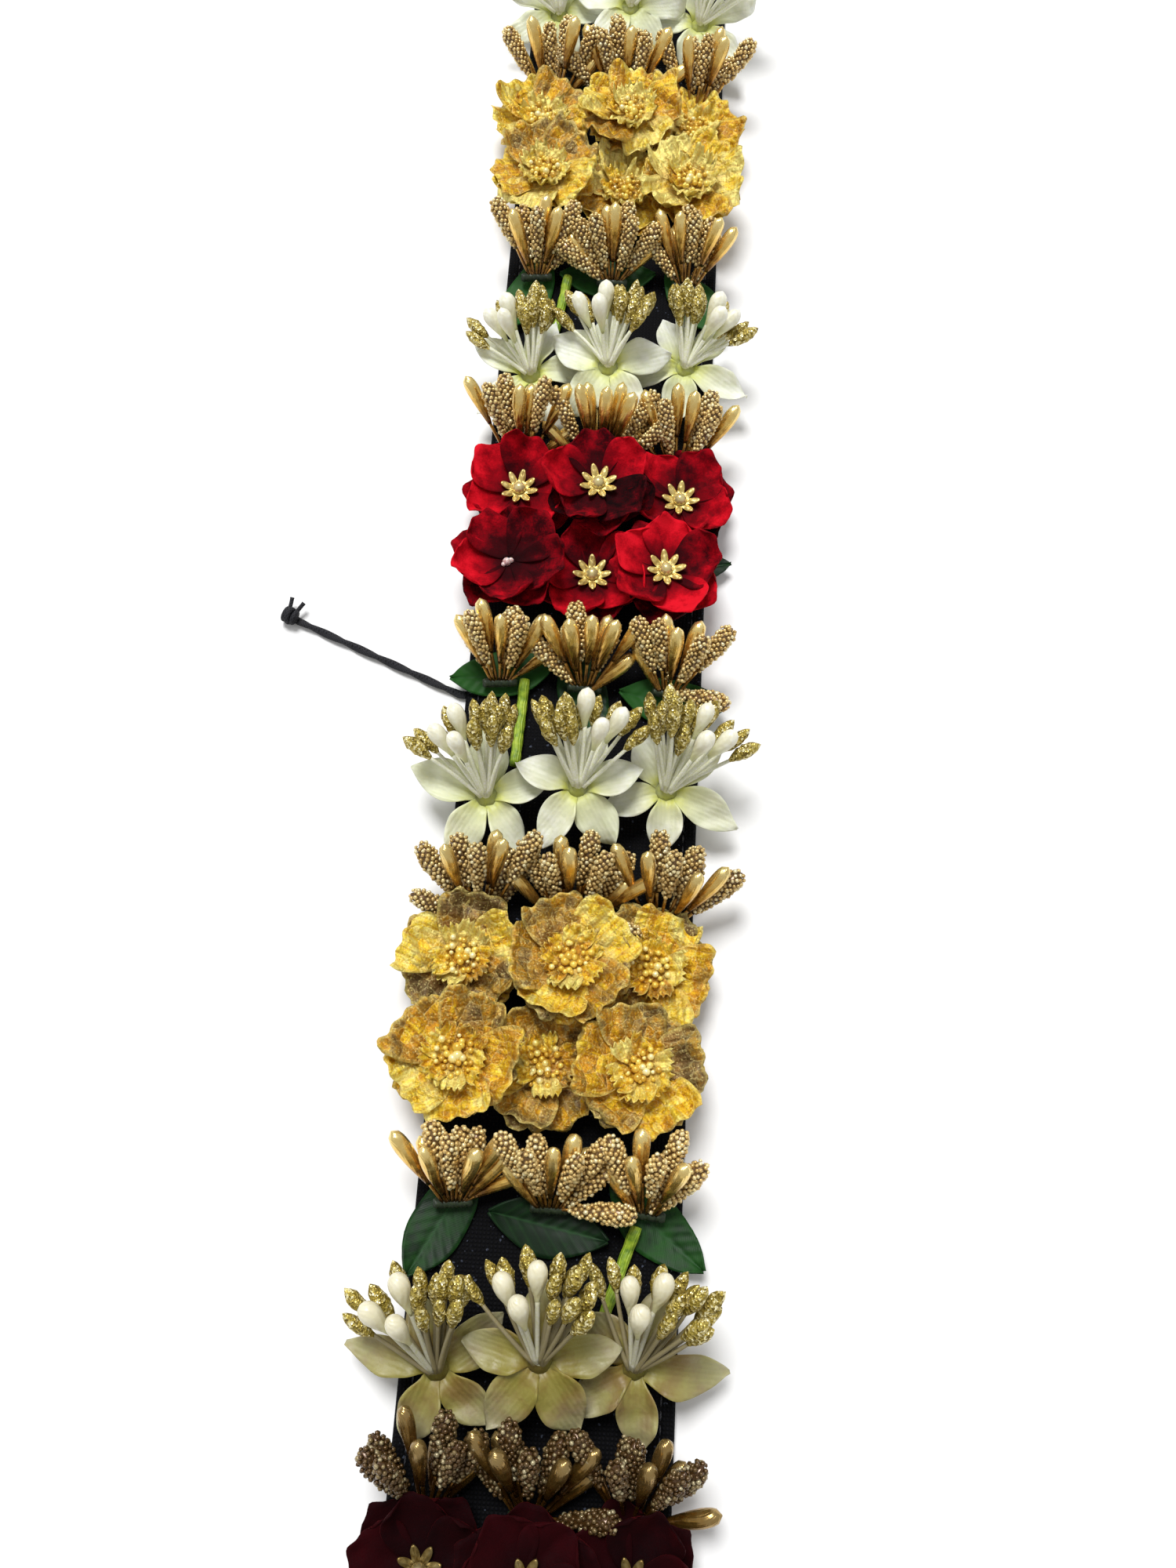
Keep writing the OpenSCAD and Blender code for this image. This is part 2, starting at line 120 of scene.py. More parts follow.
BLOOM_BALL = ball_r(BLOOM_R, BLOOM_RISE)
PETAL_BALL = ball_r(JASMINE_R, PETAL_DROP)
LEAF_BALL = ball_r(LEAF_L / 2, LEAF_CURL)
PIP_OVER = (PIP_REACH - SUGARED_D / 2) * cosd(PIP_SLOPE) + SUGARED_D / 2
UPPER_SPRAY_AT = JASMINE_R + SPRAY_DROP
BLOOM_ROW_AT = UPPER_SPRAY_AT + BLOOM_R - SPRAY_TUCK
LOWER_SPRAY_AT = BLOOM_ROW_AT + BLOOM_ROW_PITCH + BLOOM_R + PIP_OVER + TIP_GAP
REPEAT_L = LOWER_SPRAY_AT + LEAF_STRETCH + JASMINE_R
STEM_AT = LOWER_SPRAY_AT + BINDING_D / 2 + STEM_D / 2 + SEAT_GAP
BAND_L = (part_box("backing_band")[1].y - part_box("backing_band")[0].y) / MM
FIRST_Y = BAND_L / 2 - BAND_END - STAMEN_L * cosd(STAMEN_SLOPE + JASMINE_LEAN)


def row_y(i, along):
    return FIRST_Y - i * REPEAT_L - along


def add_object(name, data):
    made = bpy.data.objects.new(name, data)
    bpy.context.scene.collection.objects.link(made)
    return made


# Camera at the photograph's angle

camera = add_object("camera", bpy.data.cameras.new("camera"))
camera.location = (-0.00108, -0.11749, 0.2977)
camera.rotation_euler = [math.radians(a) for a in (18.82, -1.88, 3.51)]
camera.data.sensor_width = 36
camera.data.lens = 36 * 1649.7 / 2000
camera.data.clip_start = 0.01
bpy.context.scene.camera = camera


# Mesh building

def curve(table, u):
    """Smooth curve through (place, value) pairs."""
    x, y = np.array(table, float).T
    m = np.gradient(y, x)
    i = np.clip(np.searchsorted(x, u) - 1, 0, len(x) - 2)
    h = x[i + 1] - x[i]
    t = (u - x[i]) / h
    s = 1 - t
    return ((1 + 2 * t) * s * s * y[i] + t * s * s * h * m[i]
            + t * t * (3 - 2 * t) * y[i + 1] - t * t * s * h * m[i + 1])


def unit(v):
    return v / np.maximum(np.linalg.norm(v, axis=-1, keepdims=True), 1e-9)


def join(*parts):
    """Numbers or grids side by side, as the coordinates of each point."""
    return np.stack(np.broadcast_arrays(*parts), -1)


def grid(rows, columns):
    """A sheet's places from base to tip, 0 to 1, and from edge to edge, -1 to 1."""
    return np.meshgrid(np.linspace(0, 1, rows), np.linspace(-1, 1, columns), indexing="ij")


def spin(p, angle):
    """Points turned about Z."""
    c, s = cosd(angle), sind(angle)
    return join(c * p[..., 0] - s * p[..., 1], s * p[..., 0] + c * p[..., 1], p[..., 2])


def lean(p, angle):
    """Points turned about X."""
    c, s = cosd(angle), sind(angle)
    return join(p[..., 0], c * p[..., 1] - s * p[..., 2], s * p[..., 1] + c * p[..., 2])


def lay(swing, slope):
    """Direction of a stem that swings from Y towards X and slopes up."""
    return join(sind(swing) * cosd(slope), cosd(swing) * cosd(slope), sind(slope))


def ease(x):
    x = np.clip(x, 0, 1)
    return x * x * (3 - 2 * x)


def run(path):
    """How far along the path each of its points is."""
    return np.r_[0, np.cumsum(np.linalg.norm(np.diff(path, axis=0), axis=1))]


def densify(route, count):
    """The route with count evenly spaced points."""
    route = np.array(route, float)
    step = run(route)
    s = np.linspace(0, step[-1], count)
    return np.stack([np.interp(s, step, axis) for axis in route.T], 1)


def curved(start, direction, length, bow, count):
    """A path from start along direction that bows upwards or sideways on its way."""
    t = np.linspace(0, 1, count)[:, None]
    return start + direction * length * t + np.asarray(bow, float) * 4 * t * (1 - t)


class Shell:
    """Gathers surfaces into one mesh. A point's look is its place from base to tip and from middle
    to edge, its piece's shade and its flower's painted falloff shade. It has flat coordinates in mm too."""

    def __init__(self):
        self.points, self.looks, self.flats, self.faces, self.mats = [], [], [], [], []
        self.count = 0

    def add(self, points, faces, look, flat, mat=0):
        n = len(points)
        self.points.append(points)
        self.looks.append(np.broadcast_to(look, (n, 4)))
        self.flats.append(np.broadcast_to(flat, (n, 3)))
        self.faces.append(faces + self.count)
        self.mats.append(np.full(len(faces), mat))
        self.count += n

    def take(self, other, move):
        """Adds another shell's surfaces with their points moved."""
        self.points += [move(p) for p in other.points]
        self.looks += other.looks
        self.flats += other.flats
        self.faces += [np.where(f >= 0, f + self.count, -1) for f in other.faces]
        self.mats += other.mats
        self.count += other.count

    def slab(self, p, thick, look, flat):
        """A closed sheet: p is the upper side's grid, and thick its thickness at each point."""
        nu, nv = p.shape[:2]
        normal = unit(np.cross(np.gradient(p, axis=0), np.gradient(p, axis=1)))
        if normal[..., 2].mean() < 0:
            normal = -normal
        q = p - normal * np.broadcast_to(thick, (nu, nv))[..., None]
        n = nu * nv
        i, j = np.meshgrid(np.arange(nu - 1), np.arange(nv - 1), indexing="ij")
        a = (i * nv + j).ravel()
        top = np.stack([a, a + nv, a + nv + 1, a + 1], 1)
        ring = np.concatenate([np.arange(nv), np.arange(1, nu) * nv + nv - 1,
                (nu - 1) * nv + np.arange(nv - 2, -1, -1), np.arange(nu - 2, 0, -1) * nv])
        after = np.roll(ring, -1)
        side = np.stack([ring, after, after + n, ring + n], 1)
        self.add(np.concatenate([p.reshape(-1, 3), q.reshape(-1, 3)]),
                np.concatenate([top, top[:, ::-1] + n, side]), np.tile(look.reshape(-1, 4), (2, 1)),
                np.tile(flat.reshape(-1, 3), (2, 1)))

    def hoops(self, rings, looks, flats, ends, flip=False, mat=0):
        """Walls between closed rings of points, and a fan to a middle point at each end."""
        count, sides = rings.shape[:2]
        base = self.count
        i, k = np.meshgrid(np.arange(count - 1), np.arange(sides), indexing="ij")
        a, b = (i * sides + k).ravel(), (i * sides + (k + 1) % sides).ravel()
        walls = (a, b, b + sides, a + sides) if flip else (a, a + sides, b + sides, b)
        self.add(rings.reshape(-1, 3), np.stack(walls, 1), looks.reshape(-1, 4), flats.reshape(-1, 3), mat)
        k = np.arange(sides)
        for ring, centre in ((0, ends[0]), (count - 1, ends[-1])):
            hub = np.full((sides, 1), self.count)
            self.add(centre[None], np.zeros((0, 4), int), looks[ring, :1], flats[ring, :1], mat)
            edge = np.stack([k, (k + 1) % sides], 1) + base + ring * sides
            if flip != (ring > 0):
                edge = edge[:, ::-1]
            self.faces.append(np.concatenate([hub, edge, np.full((sides, 1), -1)], 1))
            self.mats.append(np.full(sides, mat))

    def tube(self, path, radii, sides, look=(0, 1, 0.5, 0.5), mat=0, share=1):
        """A closed tube along a path. look is its ends' places, shade and painted falloff shade, and share
        is how much of its radius each point stands out."""
        path = np.asarray(path, float)
        count = len(path)
        ahead = unit(np.gradient(path, axis=0))
        side = np.cross(ahead[0], UP)
        if np.linalg.norm(side) < 1e-3:
            side = np.array([1.0, 0, 0])
        across = []
        for d in ahead:
            side = unit(side - d * np.dot(side, d))
            across.append(side)
        across = np.array(across)[:, None]
        above = np.cross(across, ahead[:, None])
        angle = np.arange(sides) * 2 * PI / sides
        radii = np.broadcast_to(np.asarray(radii, float), (count,))
        r = radii[:, None] * np.broadcast_to(share, (count, sides))
        c, s = np.cos(angle)[None, :, None], np.sin(angle)[None, :, None]
        rings = path[:, None] + r[..., None] * (c * across + s * above)
        step = run(path)[:, None]
        looks = join(look[0] + (look[1] - look[0]) * (step / step[-1]), np.arange(sides) / sides, *look[2:])
        self.hoops(rings, looks, join(step, r * angle, 0), path, mat=mat)

    def piece(self, name, slot, materials, node):
        """Makes the object, which rides on the part and takes the node's place."""
        mesh = bpy.data.meshes.new(name)
        faces = np.concatenate(self.faces)
        starts = np.r_[0, np.cumsum(np.where(faces[:, 3] >= 0, 4, 3))[:-1]]
        corners = faces.ravel()[faces.ravel() >= 0]
        points = np.concatenate(self.points) * MM
        mesh.vertices.add(len(points))
        mesh.vertices.foreach_set("co", points.astype(np.float32).ravel())
        mesh.loops.add(len(corners))
        mesh.loops.foreach_set("vertex_index", corners.astype(np.int32))
        mesh.polygons.add(len(faces))
        mesh.polygons.foreach_set("loop_start", starts.astype(np.int32))
        mesh.polygons.foreach_set("material_index", np.concatenate(self.mats).astype(np.int32))
        mesh.update(calc_edges=True)
        mesh.polygons.foreach_set("use_smooth", np.full(len(faces), True))
        for field, kind, key, values in (("look", "FLOAT_COLOR", "color", self.looks),
                ("flat", "FLOAT_VECTOR", "vector", self.flats)):
            made = mesh.attributes.new(field, kind, "POINT")
            made.data.foreach_set(key, np.concatenate(values).astype(np.float32).ravel())
        for material in materials:
            mesh.materials.append(material)
        mesh.validate()
        made = add_object(name, mesh)
        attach(made, "root")
        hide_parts(node)
        return made


# Materials

class Paint:
    """A material in the making, with the fields that its patterns follow and its colour so far."""

    def __init__(self, name):
        self.material = bpy.data.materials.new(name)
        self.material.use_nodes = True
        self.tree = self.material.node_tree
        self.shader = self.tree.nodes["Principled BSDF"]
        look = self.node("Attribute", {}, "Color", attribute_name="look")
        self.along, self.across, self.shade = self.node("SeparateColor", {0: look}).node.outputs
        # The look's alpha carries painted shade: a falloff of light that darkens the last repeats
        self.tone = look.node.outputs["Alpha"]
        self.flat = self.node("Attribute", {}, "Vector", attribute_name="flat")
        self.place = self.stretch(self.node("TexCoord", {}, "Object"), 1000, 1000, 1000)

    def put(self, socket, value):
        if isinstance(value, bpy.types.NodeSocket):
            self.tree.links.new(value, socket)
        else:
            socket.default_value = value

    def node(self, kind, inputs, out=0, **settings):
        made = self.tree.nodes.new("ShaderNode" + kind)
        for key, value in settings.items():
            setattr(made, key, value)
        for key, value in inputs.items():
            self.put(made.inputs[key], value)
        return made.outputs[out]

    def set(self, **inputs):
        for key, value in inputs.items():
            self.put(self.shader.inputs[key.replace("_", " ")], value)

    def stretch(self, vector, x, y, z):
        return self.node("VectorMath", {0: vector, 1: (x, y, z)}, operation="MULTIPLY")

    def noise(self, scale, detail=2.0, rough=0.5, out=0):
        return self.node("TexNoise", {"Vector": self.place, "Scale": scale, "Detail": detail,
                "Roughness": rough}, out)

    def cells(self, vector, scale, out="Distance", feature="F1"):
        return self.node("TexVoronoi", {"Vector": vector, "Scale": scale}, out, feature=feature)

    def specks(self, vector, scale):
        """A chance number for each cell."""
        return self.node("SeparateColor", {0: self.cells(vector, scale, "Color")}, 0)

    def waves(self, vector, scale, direction, distort=0.0):
        return self.node("TexWave", {"Vector": vector, "Scale": scale, "Distortion": distort}, "Fac",
                wave_type="BANDS", bands_direction=direction)

    def fibres(self, run, scale, distort):
        """Wavy lines along the piece."""
        return self.waves(self.stretch(self.flat, run, 1, 1), scale, "Y", distort)

    def math(self, operation, a, b=0.5):
        return self.node("Math", {0: a, 1: b}, operation=operation)

    def sway(self, shade, field, amount, middle=0.5):
        """The shade, raised where the field is above its middle and lowered elsewhere."""
        return self.math("ADD", shade, self.math("MULTIPLY", self.math("SUBTRACT", field, middle), amount))

    def ramp(self, field, *stops):
        made = self.tree.nodes.new("ShaderNodeValToRGB")
        self.put(made.inputs[0], field)
        elements = made.color_ramp.elements
        while len(elements) < len(stops):
            elements.new(0.5)
        for element, (place, *shade) in zip(elements, stops):
            element.position = place
            element.color = (*(shade * 3)[:3], 1)
        return made.outputs[0]

    def base(self, field, *stops):
        self.colour = self.ramp(field, *stops)

    def tint(self, shade, field, *stops, blend="MIX"):
        """Mixes another colour in, as far as the field, or a ramp of it, says."""
        share = self.ramp(field, *stops) if stops else field
        shade = (*shade, 1) if isinstance(shade, tuple) else shade
        self.colour = self.node("MixRGB", {"Fac": share, "Color1": self.colour, "Color2": shade},
                blend_type=blend)

    def finish(self, layers, field, low, high, ends=(0.3, 0.7), coat=(), glow=(), **others):
        """Sets the shader. Each layer of relief is a height, its depth and its strength, the
        uppermost first. Roughness goes from low to high as the field goes between its ends."""
        others.update(zip(("Coat_Weight", "Coat_Roughness"), coat))
        others.update(zip(("Subsurface_Weight", "Subsurface_Scale", "Subsurface_Radius"), glow))
        normal = None
        for height, depth, strength in reversed(layers):
            under = {} if normal is None else {"Normal": normal}
            normal = self.node("Bump",
                    {"Height": height, "Distance": depth * MM, "Strength": strength, **under})
        self.set(Base_Color=self.colour, Roughness=self.ramp(field, *zip(ends, (low, high))), Normal=normal,
                **others)


def paint(name):
    """Turns the function below it into the material that it paints."""
    def make(build):
        p = Paint(name)
        build(p)
        return p.material
    return make


def mottled(name, scale, dark, light, low, high, depth, **others):
    """A plain material that is cloudy in its colour, roughness and relief."""
    p = Paint(name)
    mottle = p.noise(scale, 3)
    p.base(mottle, (0.3, *dark), (0.7, *light))
    p.finish([(mottle, depth, 0.6)], mottle, low, high, **others)
    return p.material


@paint("velvet")
def VELVET(p):
    cloud, nap, pile = p.noise(0.3, 3, 0.6), p.noise(2.2, 3, 0.6), p.noise(11)
    shade = p.node("Math", {0: cloud, 1: 1.3, 2: -0.78}, operation="MULTIPLY_ADD")
    shade = p.sway(p.math("ADD", shade, p.shade), nap, 0.5)
    # Painted shade: petals darken towards their bases round the bloom's middle
    shade = p.math("MULTIPLY", shade, p.ramp(p.along, (0, 0.08), (0.35, 0.5), (0.75, 1), (1, 1)))
    # Painted shade: darker towards the last repeat, where the light falls off
    shade = p.math("MULTIPLY", shade, p.ramp(p.tone, (0, 1), (1, 0.1)))
    p.base(shade, (0, 0.005, 0, 0.0005), (0.25, 0.045, 0, 0.002), (0.55, 0.24, 0, 0.005),
            (0.8, 0.5, 0.002, 0.01), (1, 0.68, 0.006, 0.018))
    p.finish([(pile, 0.05, 0.8), (nap, 0.15, 0.7)], nap, 0.72, 0.95, (0.3, 0.8), Sheen_Weight=0.08,
            Sheen_Roughness=0.35, Sheen_Tint=(1, 0.06, 0.08, 1), Specular_IOR_Level=0.08)


@paint("gilt_mesh")
def GILT_MESH(p):
    cloud, crush = p.noise(0.24, 3, 0.6), p.noise(0.9, 5, 0.65)
    warped = p.node("VectorMath", {0: p.place, 1: p.noise(0.5, out="Color")}, operation="ADD")
    crease = p.cells(warped, 0.3, feature="DISTANCE_TO_EDGE")
    shade = p.sway(p.sway(p.shade, cloud, 1.1), crush, 0.8)
    # Each crumple facet takes a random shade: painted light and shade on the facets
    shade = p.sway(shade, p.specks(warped, 0.3), 0.34, 0.45)
    p.base(shade, (0, 0.16, 0.1, 0.03), (0.17, 0.34, 0.22, 0.06), (0.33, 0.5, 0.3, 0.035),
            (0.48, 0.62, 0.29, 0.006), (0.66, 0.88, 0.56, 0.012), (0.84, 0.95, 0.72, 0.07),
            (1, 0.96, 0.84, 0.25))
    streak = p.fibres(0.06, 0.2, 3.0)
    p.tint((0.62, 0.42, 0.2), streak, (0, 0.45), (0.6, 0), blend="MULTIPLY")
    # Amber towards each petal's base: painted shade round the bloom's middle
    p.tint((0.5, 0.2, 0.008), p.along, (0, 0.85), (0.35, 0.4), (0.7, 0))
    rim = p.math("MAXIMUM", p.ramp(p.across, (0.86, 0), (0.98, 1)), p.ramp(p.along, (0.93, 0), (0.99, 1)))
    p.tint((0.96, 0.8, 0.24), p.math("MULTIPLY", rim, 0.4))
    net = p.math("MAXIMUM", p.waves(p.flat, 0.46, "X", 0.6), p.waves(p.flat, 0.46, "Y", 0.6))
    p.tint((0.6, 0.43, 0.22), net, (0.45, 0.3), (0.9, 0), blend="MULTIPLY")
    # Thin pale lines along the creases: painted highlights
    p.tint((0.98, 0.86, 0.38), crease, (0, 0.26), (0.05, 0))
    # Bright golden specks: painted glints
    p.tint((0.98, 0.84, 0.32), p.specks(p.place, 3.2), (0.86, 0), (0.95, 0.4))
    folds = p.math("MINIMUM", crease, 0.4)
    p.finish([(net, 0.06, 0.5), (crush, 0.8, 0.8), (folds, 1.1, 0.8), (streak, 0.2, 0.5)], crush, 0.24, 0.46,
            Metallic=0.5, glow=(0.15, 0.0012, (0.9, 0.6, 0.2)), Sheen_Weight=0.03,
            Sheen_Tint=(1, 0.8, 0.35, 1), coat=(0.08, 0.25))


@paint("jasmine")
def JASMINE(p):
    veins = p.fibres(0.06, 0.3, 1.2)
    mottle, patches = p.noise(0.5, 3), p.noise(0.16, 3, 0.6)
    p.base(p.along, (0, 0.55, 0.62, 0.04), (0.17, 0.74, 0.78, 0.2), (0.32, 0.84, 0.87, 0.55),
            (0.55, 0.88, 0.9, 0.76), (1, 0.9, 0.92, 0.84))
    p.tint((0.7, 0.75, 0.5), mottle, (0.35, 0.5), (0.62, 0))
    # Petals with a high shade turn grey-green: painted shade on some petals
    p.tint((0.6, 0.66, 0.36), p.math("MAXIMUM", p.math("SUBTRACT", p.shade, 0.55), 0))
    p.tint((0.62, 0.68, 0.45), veins, (0, 0.14), (0.5, 0))
    # Painted shade: the last repeat darkens to olive-brown, most at the petals' bases
    painted_falloff_mix = p.math("MULTIPLY", p.tone, p.ramp(p.along, (0, 0.97), (0.5, 0.9), (1, 0.7)))
    p.tint(p.ramp(patches, (0.35, 0.18, 0.105, 0.012), (0.6, 0.245, 0.21, 0.035)), painted_falloff_mix)
    p.finish([(veins, 0.08, 0.5), (mottle, 0.4, 0.6)], mottle, 0.4, 0.6, glow=(0.3, 0.0015, (1.0, 0.9, 0.6)),
            coat=(0.1, 0.35))


@paint("bud_wax")
def BUD(p):
    mottle, seam = p.noise(0.7, 3), p.waves(p.flat, 0.25, "Y", 0.6)
    p.base(p.along, (0, 0.5, 0.54, 0.16), (0.25, 0.76, 0.77, 0.45), (0.55, 0.88, 0.87, 0.7),
            (1, 0.9, 0.89, 0.8))
    p.tint((0.62, 0.58, 0.33), mottle, (0.35, 0.4), (0.65, 0))
    # Painted shade: buds darken towards the last repeat
    p.tint((0.62, 0.55, 0.32), p.tone, (0, 0), (1, 0.5))
    p.finish([(seam, 0.12, 0.4), (mottle, 0.2, 0.5)], mottle, 0.28, 0.48,
            glow=(0.25, 0.0015, (1.0, 0.9, 0.6)), coat=(0.25, 0.2))


@paint("filament")
def FILAMENT(p):
    mottle = p.noise(2.2)
    p.base(mottle, (0.3, 0.78, 0.8, 0.5), (0.65, 0.9, 0.9, 0.8))
    # Painted shade: filaments darken towards the last repeat
    p.tint((0.15, 0.105, 0.02), p.tone, (0, 0), (1, 0.88))
    p.finish([(mottle, 0.08, 0.5)], mottle, 0.4, 0.6)


@paint("stamen_glitter")
def GLITTER(p):
    grain = p.specks(p.place, 2.1)
    # Grains in random golden shades; the brightest, near white, are painted glints
    p.base(grain, (0.15, 0.13, 0.085, 0.008), (0.42, 0.38, 0.28, 0.04), (0.7, 0.64, 0.5, 0.13),
            (0.9, 1.0, 0.92, 0.55))
    p.tint((0.42, 0.33, 0.05), p.noise(0.8, 3), (0.35, 0.45), (0.6, 0))
    p.finish([(p.cells(p.place, 2.1), 0.3, 0.9)], grain, 0.45, 0.18, (0.3, 0.9), Metallic=0.5)


@paint("pip_gold")
def PIP(p):
    wrinkle, cloud = p.fibres(0.12, 0.5, 2.0), p.noise(0.6, 3)
    # Dark brown at the base to pale gold at the tip: painted shade where the pips crowd at the binding
    p.base(p.sway(p.along, cloud, 0.7), (0, 0.16, 0.075, 0.02), (0.28, 0.42, 0.21, 0.035),
            (0.55, 0.84, 0.53, 0.12), (1, 1.0, 0.8, 0.33))
    # Painted shade: darker towards the last repeat
    p.tint((0.13, 0.045, 0.004), p.tone, (0, 0), (1, 0.72))
    p.finish([(wrinkle, 0.06, 0.5), (cloud, 0.2, 0.4)], cloud, 0.18, 0.32, Metallic=0.85, coat=(0.3, 0.1))


@paint("pip_beads")
def SUGAR(p):
    cloud = p.noise(1.3)
    # Seeds take random shades. The core, at shade 0, takes the darkest brown: painted shade between the
    # seeds
    p.base(p.shade, (0, 0.12, 0.06, 0.02), (0.12, 0.48, 0.31, 0.09), (0.45, 0.8, 0.56, 0.21),
            (0.8, 0.96, 0.77, 0.35), (1, 1.0, 0.92, 0.58))
    p.tint((0.42, 0.26, 0.09), cloud, (0.35, 0.3), (0.65, 0))
    # Painted shade of the last repeat, spared on the brightest seeds, which keep painted glints
    painted_shade_share = p.ramp(p.shade, (0, 0.95), (0.7, 0.92), (0.9, 0.68), (1, 0.5))
    p.tint((0.065, 0.028, 0.006), p.math("MULTIPLY", p.tone, painted_shade_share))
    p.finish([(p.noise(9), 0.03, 0.5)], cloud, 0.14, 0.3, Metallic=0.4, coat=(0.3, 0.1))


@paint("binding_tape")
def TAPE(p):
    turns, mottle = p.waves(p.stretch(p.flat, 1, 0.35, 1), 0.3, "DIAGONAL", 0.8), p.noise(1.6, 3)
    p.base(mottle, (0.3, 0.004, 0.012, 0.004), (0.7, 0.02, 0.035, 0.01))
    p.finish([(turns, 0.25, 0.8), (mottle, 0.2, 0.5)], turns, 0.75, 0.5, (0.2, 0.9))


@paint("leaf_satin")
def LEAF(p):
    aside = p.math("ABSOLUTE", p.node("SeparateXYZ", {0: p.flat}, 1))
    slant = p.node("VectorMath", {0: p.flat, 1: p.node("CombineXYZ", {0: aside})}, operation="SUBTRACT")
    veins, weave = p.waves(slant, 0.11, "X", 0.8), p.waves(p.flat, 1.6, "DIAGONAL", 0.6)
    cloud = p.noise(0.3, 3)
    p.base(p.sway(p.shade, cloud, 0.9), (0, 0.0008, 0.004, 0.0014), (0.5, 0.002, 0.015, 0.0028),
            (1, 0.014, 0.08, 0.01))
    p.tint((0.016, 0.08, 0.014), veins, (0.75, 0), (1, 0.12))
    p.tint((0.02, 0.08, 0.022), p.across, (0, 0.5), (0.08, 0))
    p.finish([(veins, 0.12, 0.6), (weave, 0.04, 0.5)], cloud, 0.4, 0.6, Sheen_Weight=0.03,
            Sheen_Tint=(0.5, 1, 0.6, 1), Specular_IOR_Level=0.2)


@paint("stem_green")
def STEM(p):
    fibre, cloud = p.fibres(0.1, 0.5, 1.5), p.noise(0.5, 3)
    p.base(cloud, (0.3, 0.1, 0.2, 0.01), (0.5, 0.28, 0.42, 0.02), (0.72, 0.48, 0.6, 0.06))
    p.finish([(fibre, 0.15, 0.7), (cloud, 0.3, 0.4)], cloud, 0.4, 0.6)


@paint("band_cloth")
def CLOTH(p):
    weave = p.math("MULTIPLY", p.waves(p.place, 0.36, "X", 0.4), p.waves(p.place, 0.36, "Y", 0.4))
    lint = p.noise(4, 3, 0.7)
    p.base(weave, (0, 0.001, 0.001, 0.0013), (1, 0.005, 0.005, 0.007))
    p.tint((0.02, 0.02, 0.03), lint, (0.6, 0), (0.8, 0.3))
    # Rare bluish specks: painted glints on the weave
    p.tint((0.12, 0.14, 0.2), p.specks(p.place, 2.4), (0.985, 0), (0.998, 0.5))
    p.finish([(weave, 0.2, 0.8), (lint, 0.15, 0.4)], lint, 0.55, 0.85, Sheen_Weight=0.01,
            Sheen_Tint=(0.7, 0.75, 1, 1), Specular_IOR_Level=0.08)


@paint("band_thread")
def THREAD(p):
    ply = p.waves(p.flat, 1.0, "DIAGONAL")
    p.base(ply, (0, 0.008, 0.008, 0.01), (1, 0.04, 0.04, 0.05))
    p.finish([(ply, 0.08, 0.8)], p.noise(3), 0.45, 0.7)


@paint("elastic")
def ELASTIC(p):
    braid = p.math("MAXIMUM", p.waves(p.flat, 0.8, "DIAGONAL"),
            p.waves(p.stretch(p.flat, 1, -1, 1), 0.8, "DIAGONAL"))
    p.base(braid, (0, 0.004, 0.004, 0.005), (1, 0.025, 0.025, 0.03))
    p.finish([(braid, 0.12, 0.9)], p.noise(2.5), 0.5, 0.75, Specular_IOR_Level=0.2)


@paint("antique_gilt")
def ANTIQUE(p):
    wear = p.noise(0.9, 4, 0.6)
    p.base(wear, (0.3, 0.55, 0.38, 0.1), (0.5, 0.78, 0.6, 0.2), (0.75, 0.92, 0.78, 0.36))
    p.tint((0.17, 0.09, 0.02), p.across, (0, 0.75), (0.5, 0))
    # Painted shade: caps darken towards the last repeat
    p.tint((0.07, 0.03, 0.006), p.tone, (0.2, 0), (1, 0.72))
    p.finish([(p.noise(5, 3), 0.06, 0.6)], wear, 0.28, 0.45, Metallic=0.75)


@paint("bead_gold")
def BEADS(p):
    cloud = p.noise(0.6)
    p.base(p.sway(p.shade, cloud, 0.5), (0, 0.52, 0.28, 0.03), (0.4, 0.8, 0.52, 0.06),
            (0.75, 0.93, 0.72, 0.14), (1, 0.96, 0.87, 0.45))
    p.finish([(p.noise(3), 0.05, 0.4)], cloud, 0.14, 0.28, Metallic=0.3, coat=(0.5, 0.08), glow=(0.1, 0.001))


@paint("pearl")
def PEARL(p):
    cloud = p.noise(0.7, 3)
    p.base(cloud, (0.3, 0.56, 0.44, 0.15), (0.7, 0.78, 0.68, 0.34))
    # Painted shade: pearls darken towards the last repeat
    p.tint((0.1, 0.05, 0.012), p.tone, (0.2, 0), (1, 0.72))
    p.finish([(p.noise(4), 0.02, 0.4)], cloud, 0.2, 0.34, Metallic=0.45, coat=(0.4, 0.1))


TUBE = mottled("petal_tube", 1.4, (0.42, 0.5, 0.12), (0.66, 0.7, 0.3), 0.45, 0.65, 0.15, glow=(0.2, 0.001))
GLUE = mottled("dried_glue", 1.5, (0.5, 0.26, 0.25), (0.86, 0.74, 0.7), 0.15, 0.35, 0.2, glow=(0.3, 0.001))


# The tie and its knot

def peanut(twist, count, sides):
    """Share of the radius round two strands side by side that turn along a tube."""
    turn = np.linspace(0, twist, count)[:, None]
    angle = np.arange(sides) * 2 * PI / sides
    return 0.62 + 0.38 * np.abs(np.cos(angle[None] - turn)) ** 1.3


TIE_POINTS, TIE_SIDES = 60, 16
tie = Shell()
tie_path = densify(TIE_ROUTE, TIE_POINTS)
tie.tube(tie_path, TIE_D / 2, TIE_SIDES, share=peanut(5 * PI, TIE_POINTS, TIE_SIDES))
tie_piece = tie.piece("tie_strands", "tie", [ELASTIC], "tie_cord")

knot = Shell()
ahead = unit(np.array(TIE_ROUTE[-1], float) - TIE_ROUTE[-2])
knot_turn = math.degrees(math.atan2(ahead[1], ahead[0]))
knot_at = join(TIE_ROUTE[-1][0], TIE_ROUTE[-1][1], KNOT_D / 2)


def in_knot(p):
    return spin(np.asarray(p, float), knot_turn) + knot_at


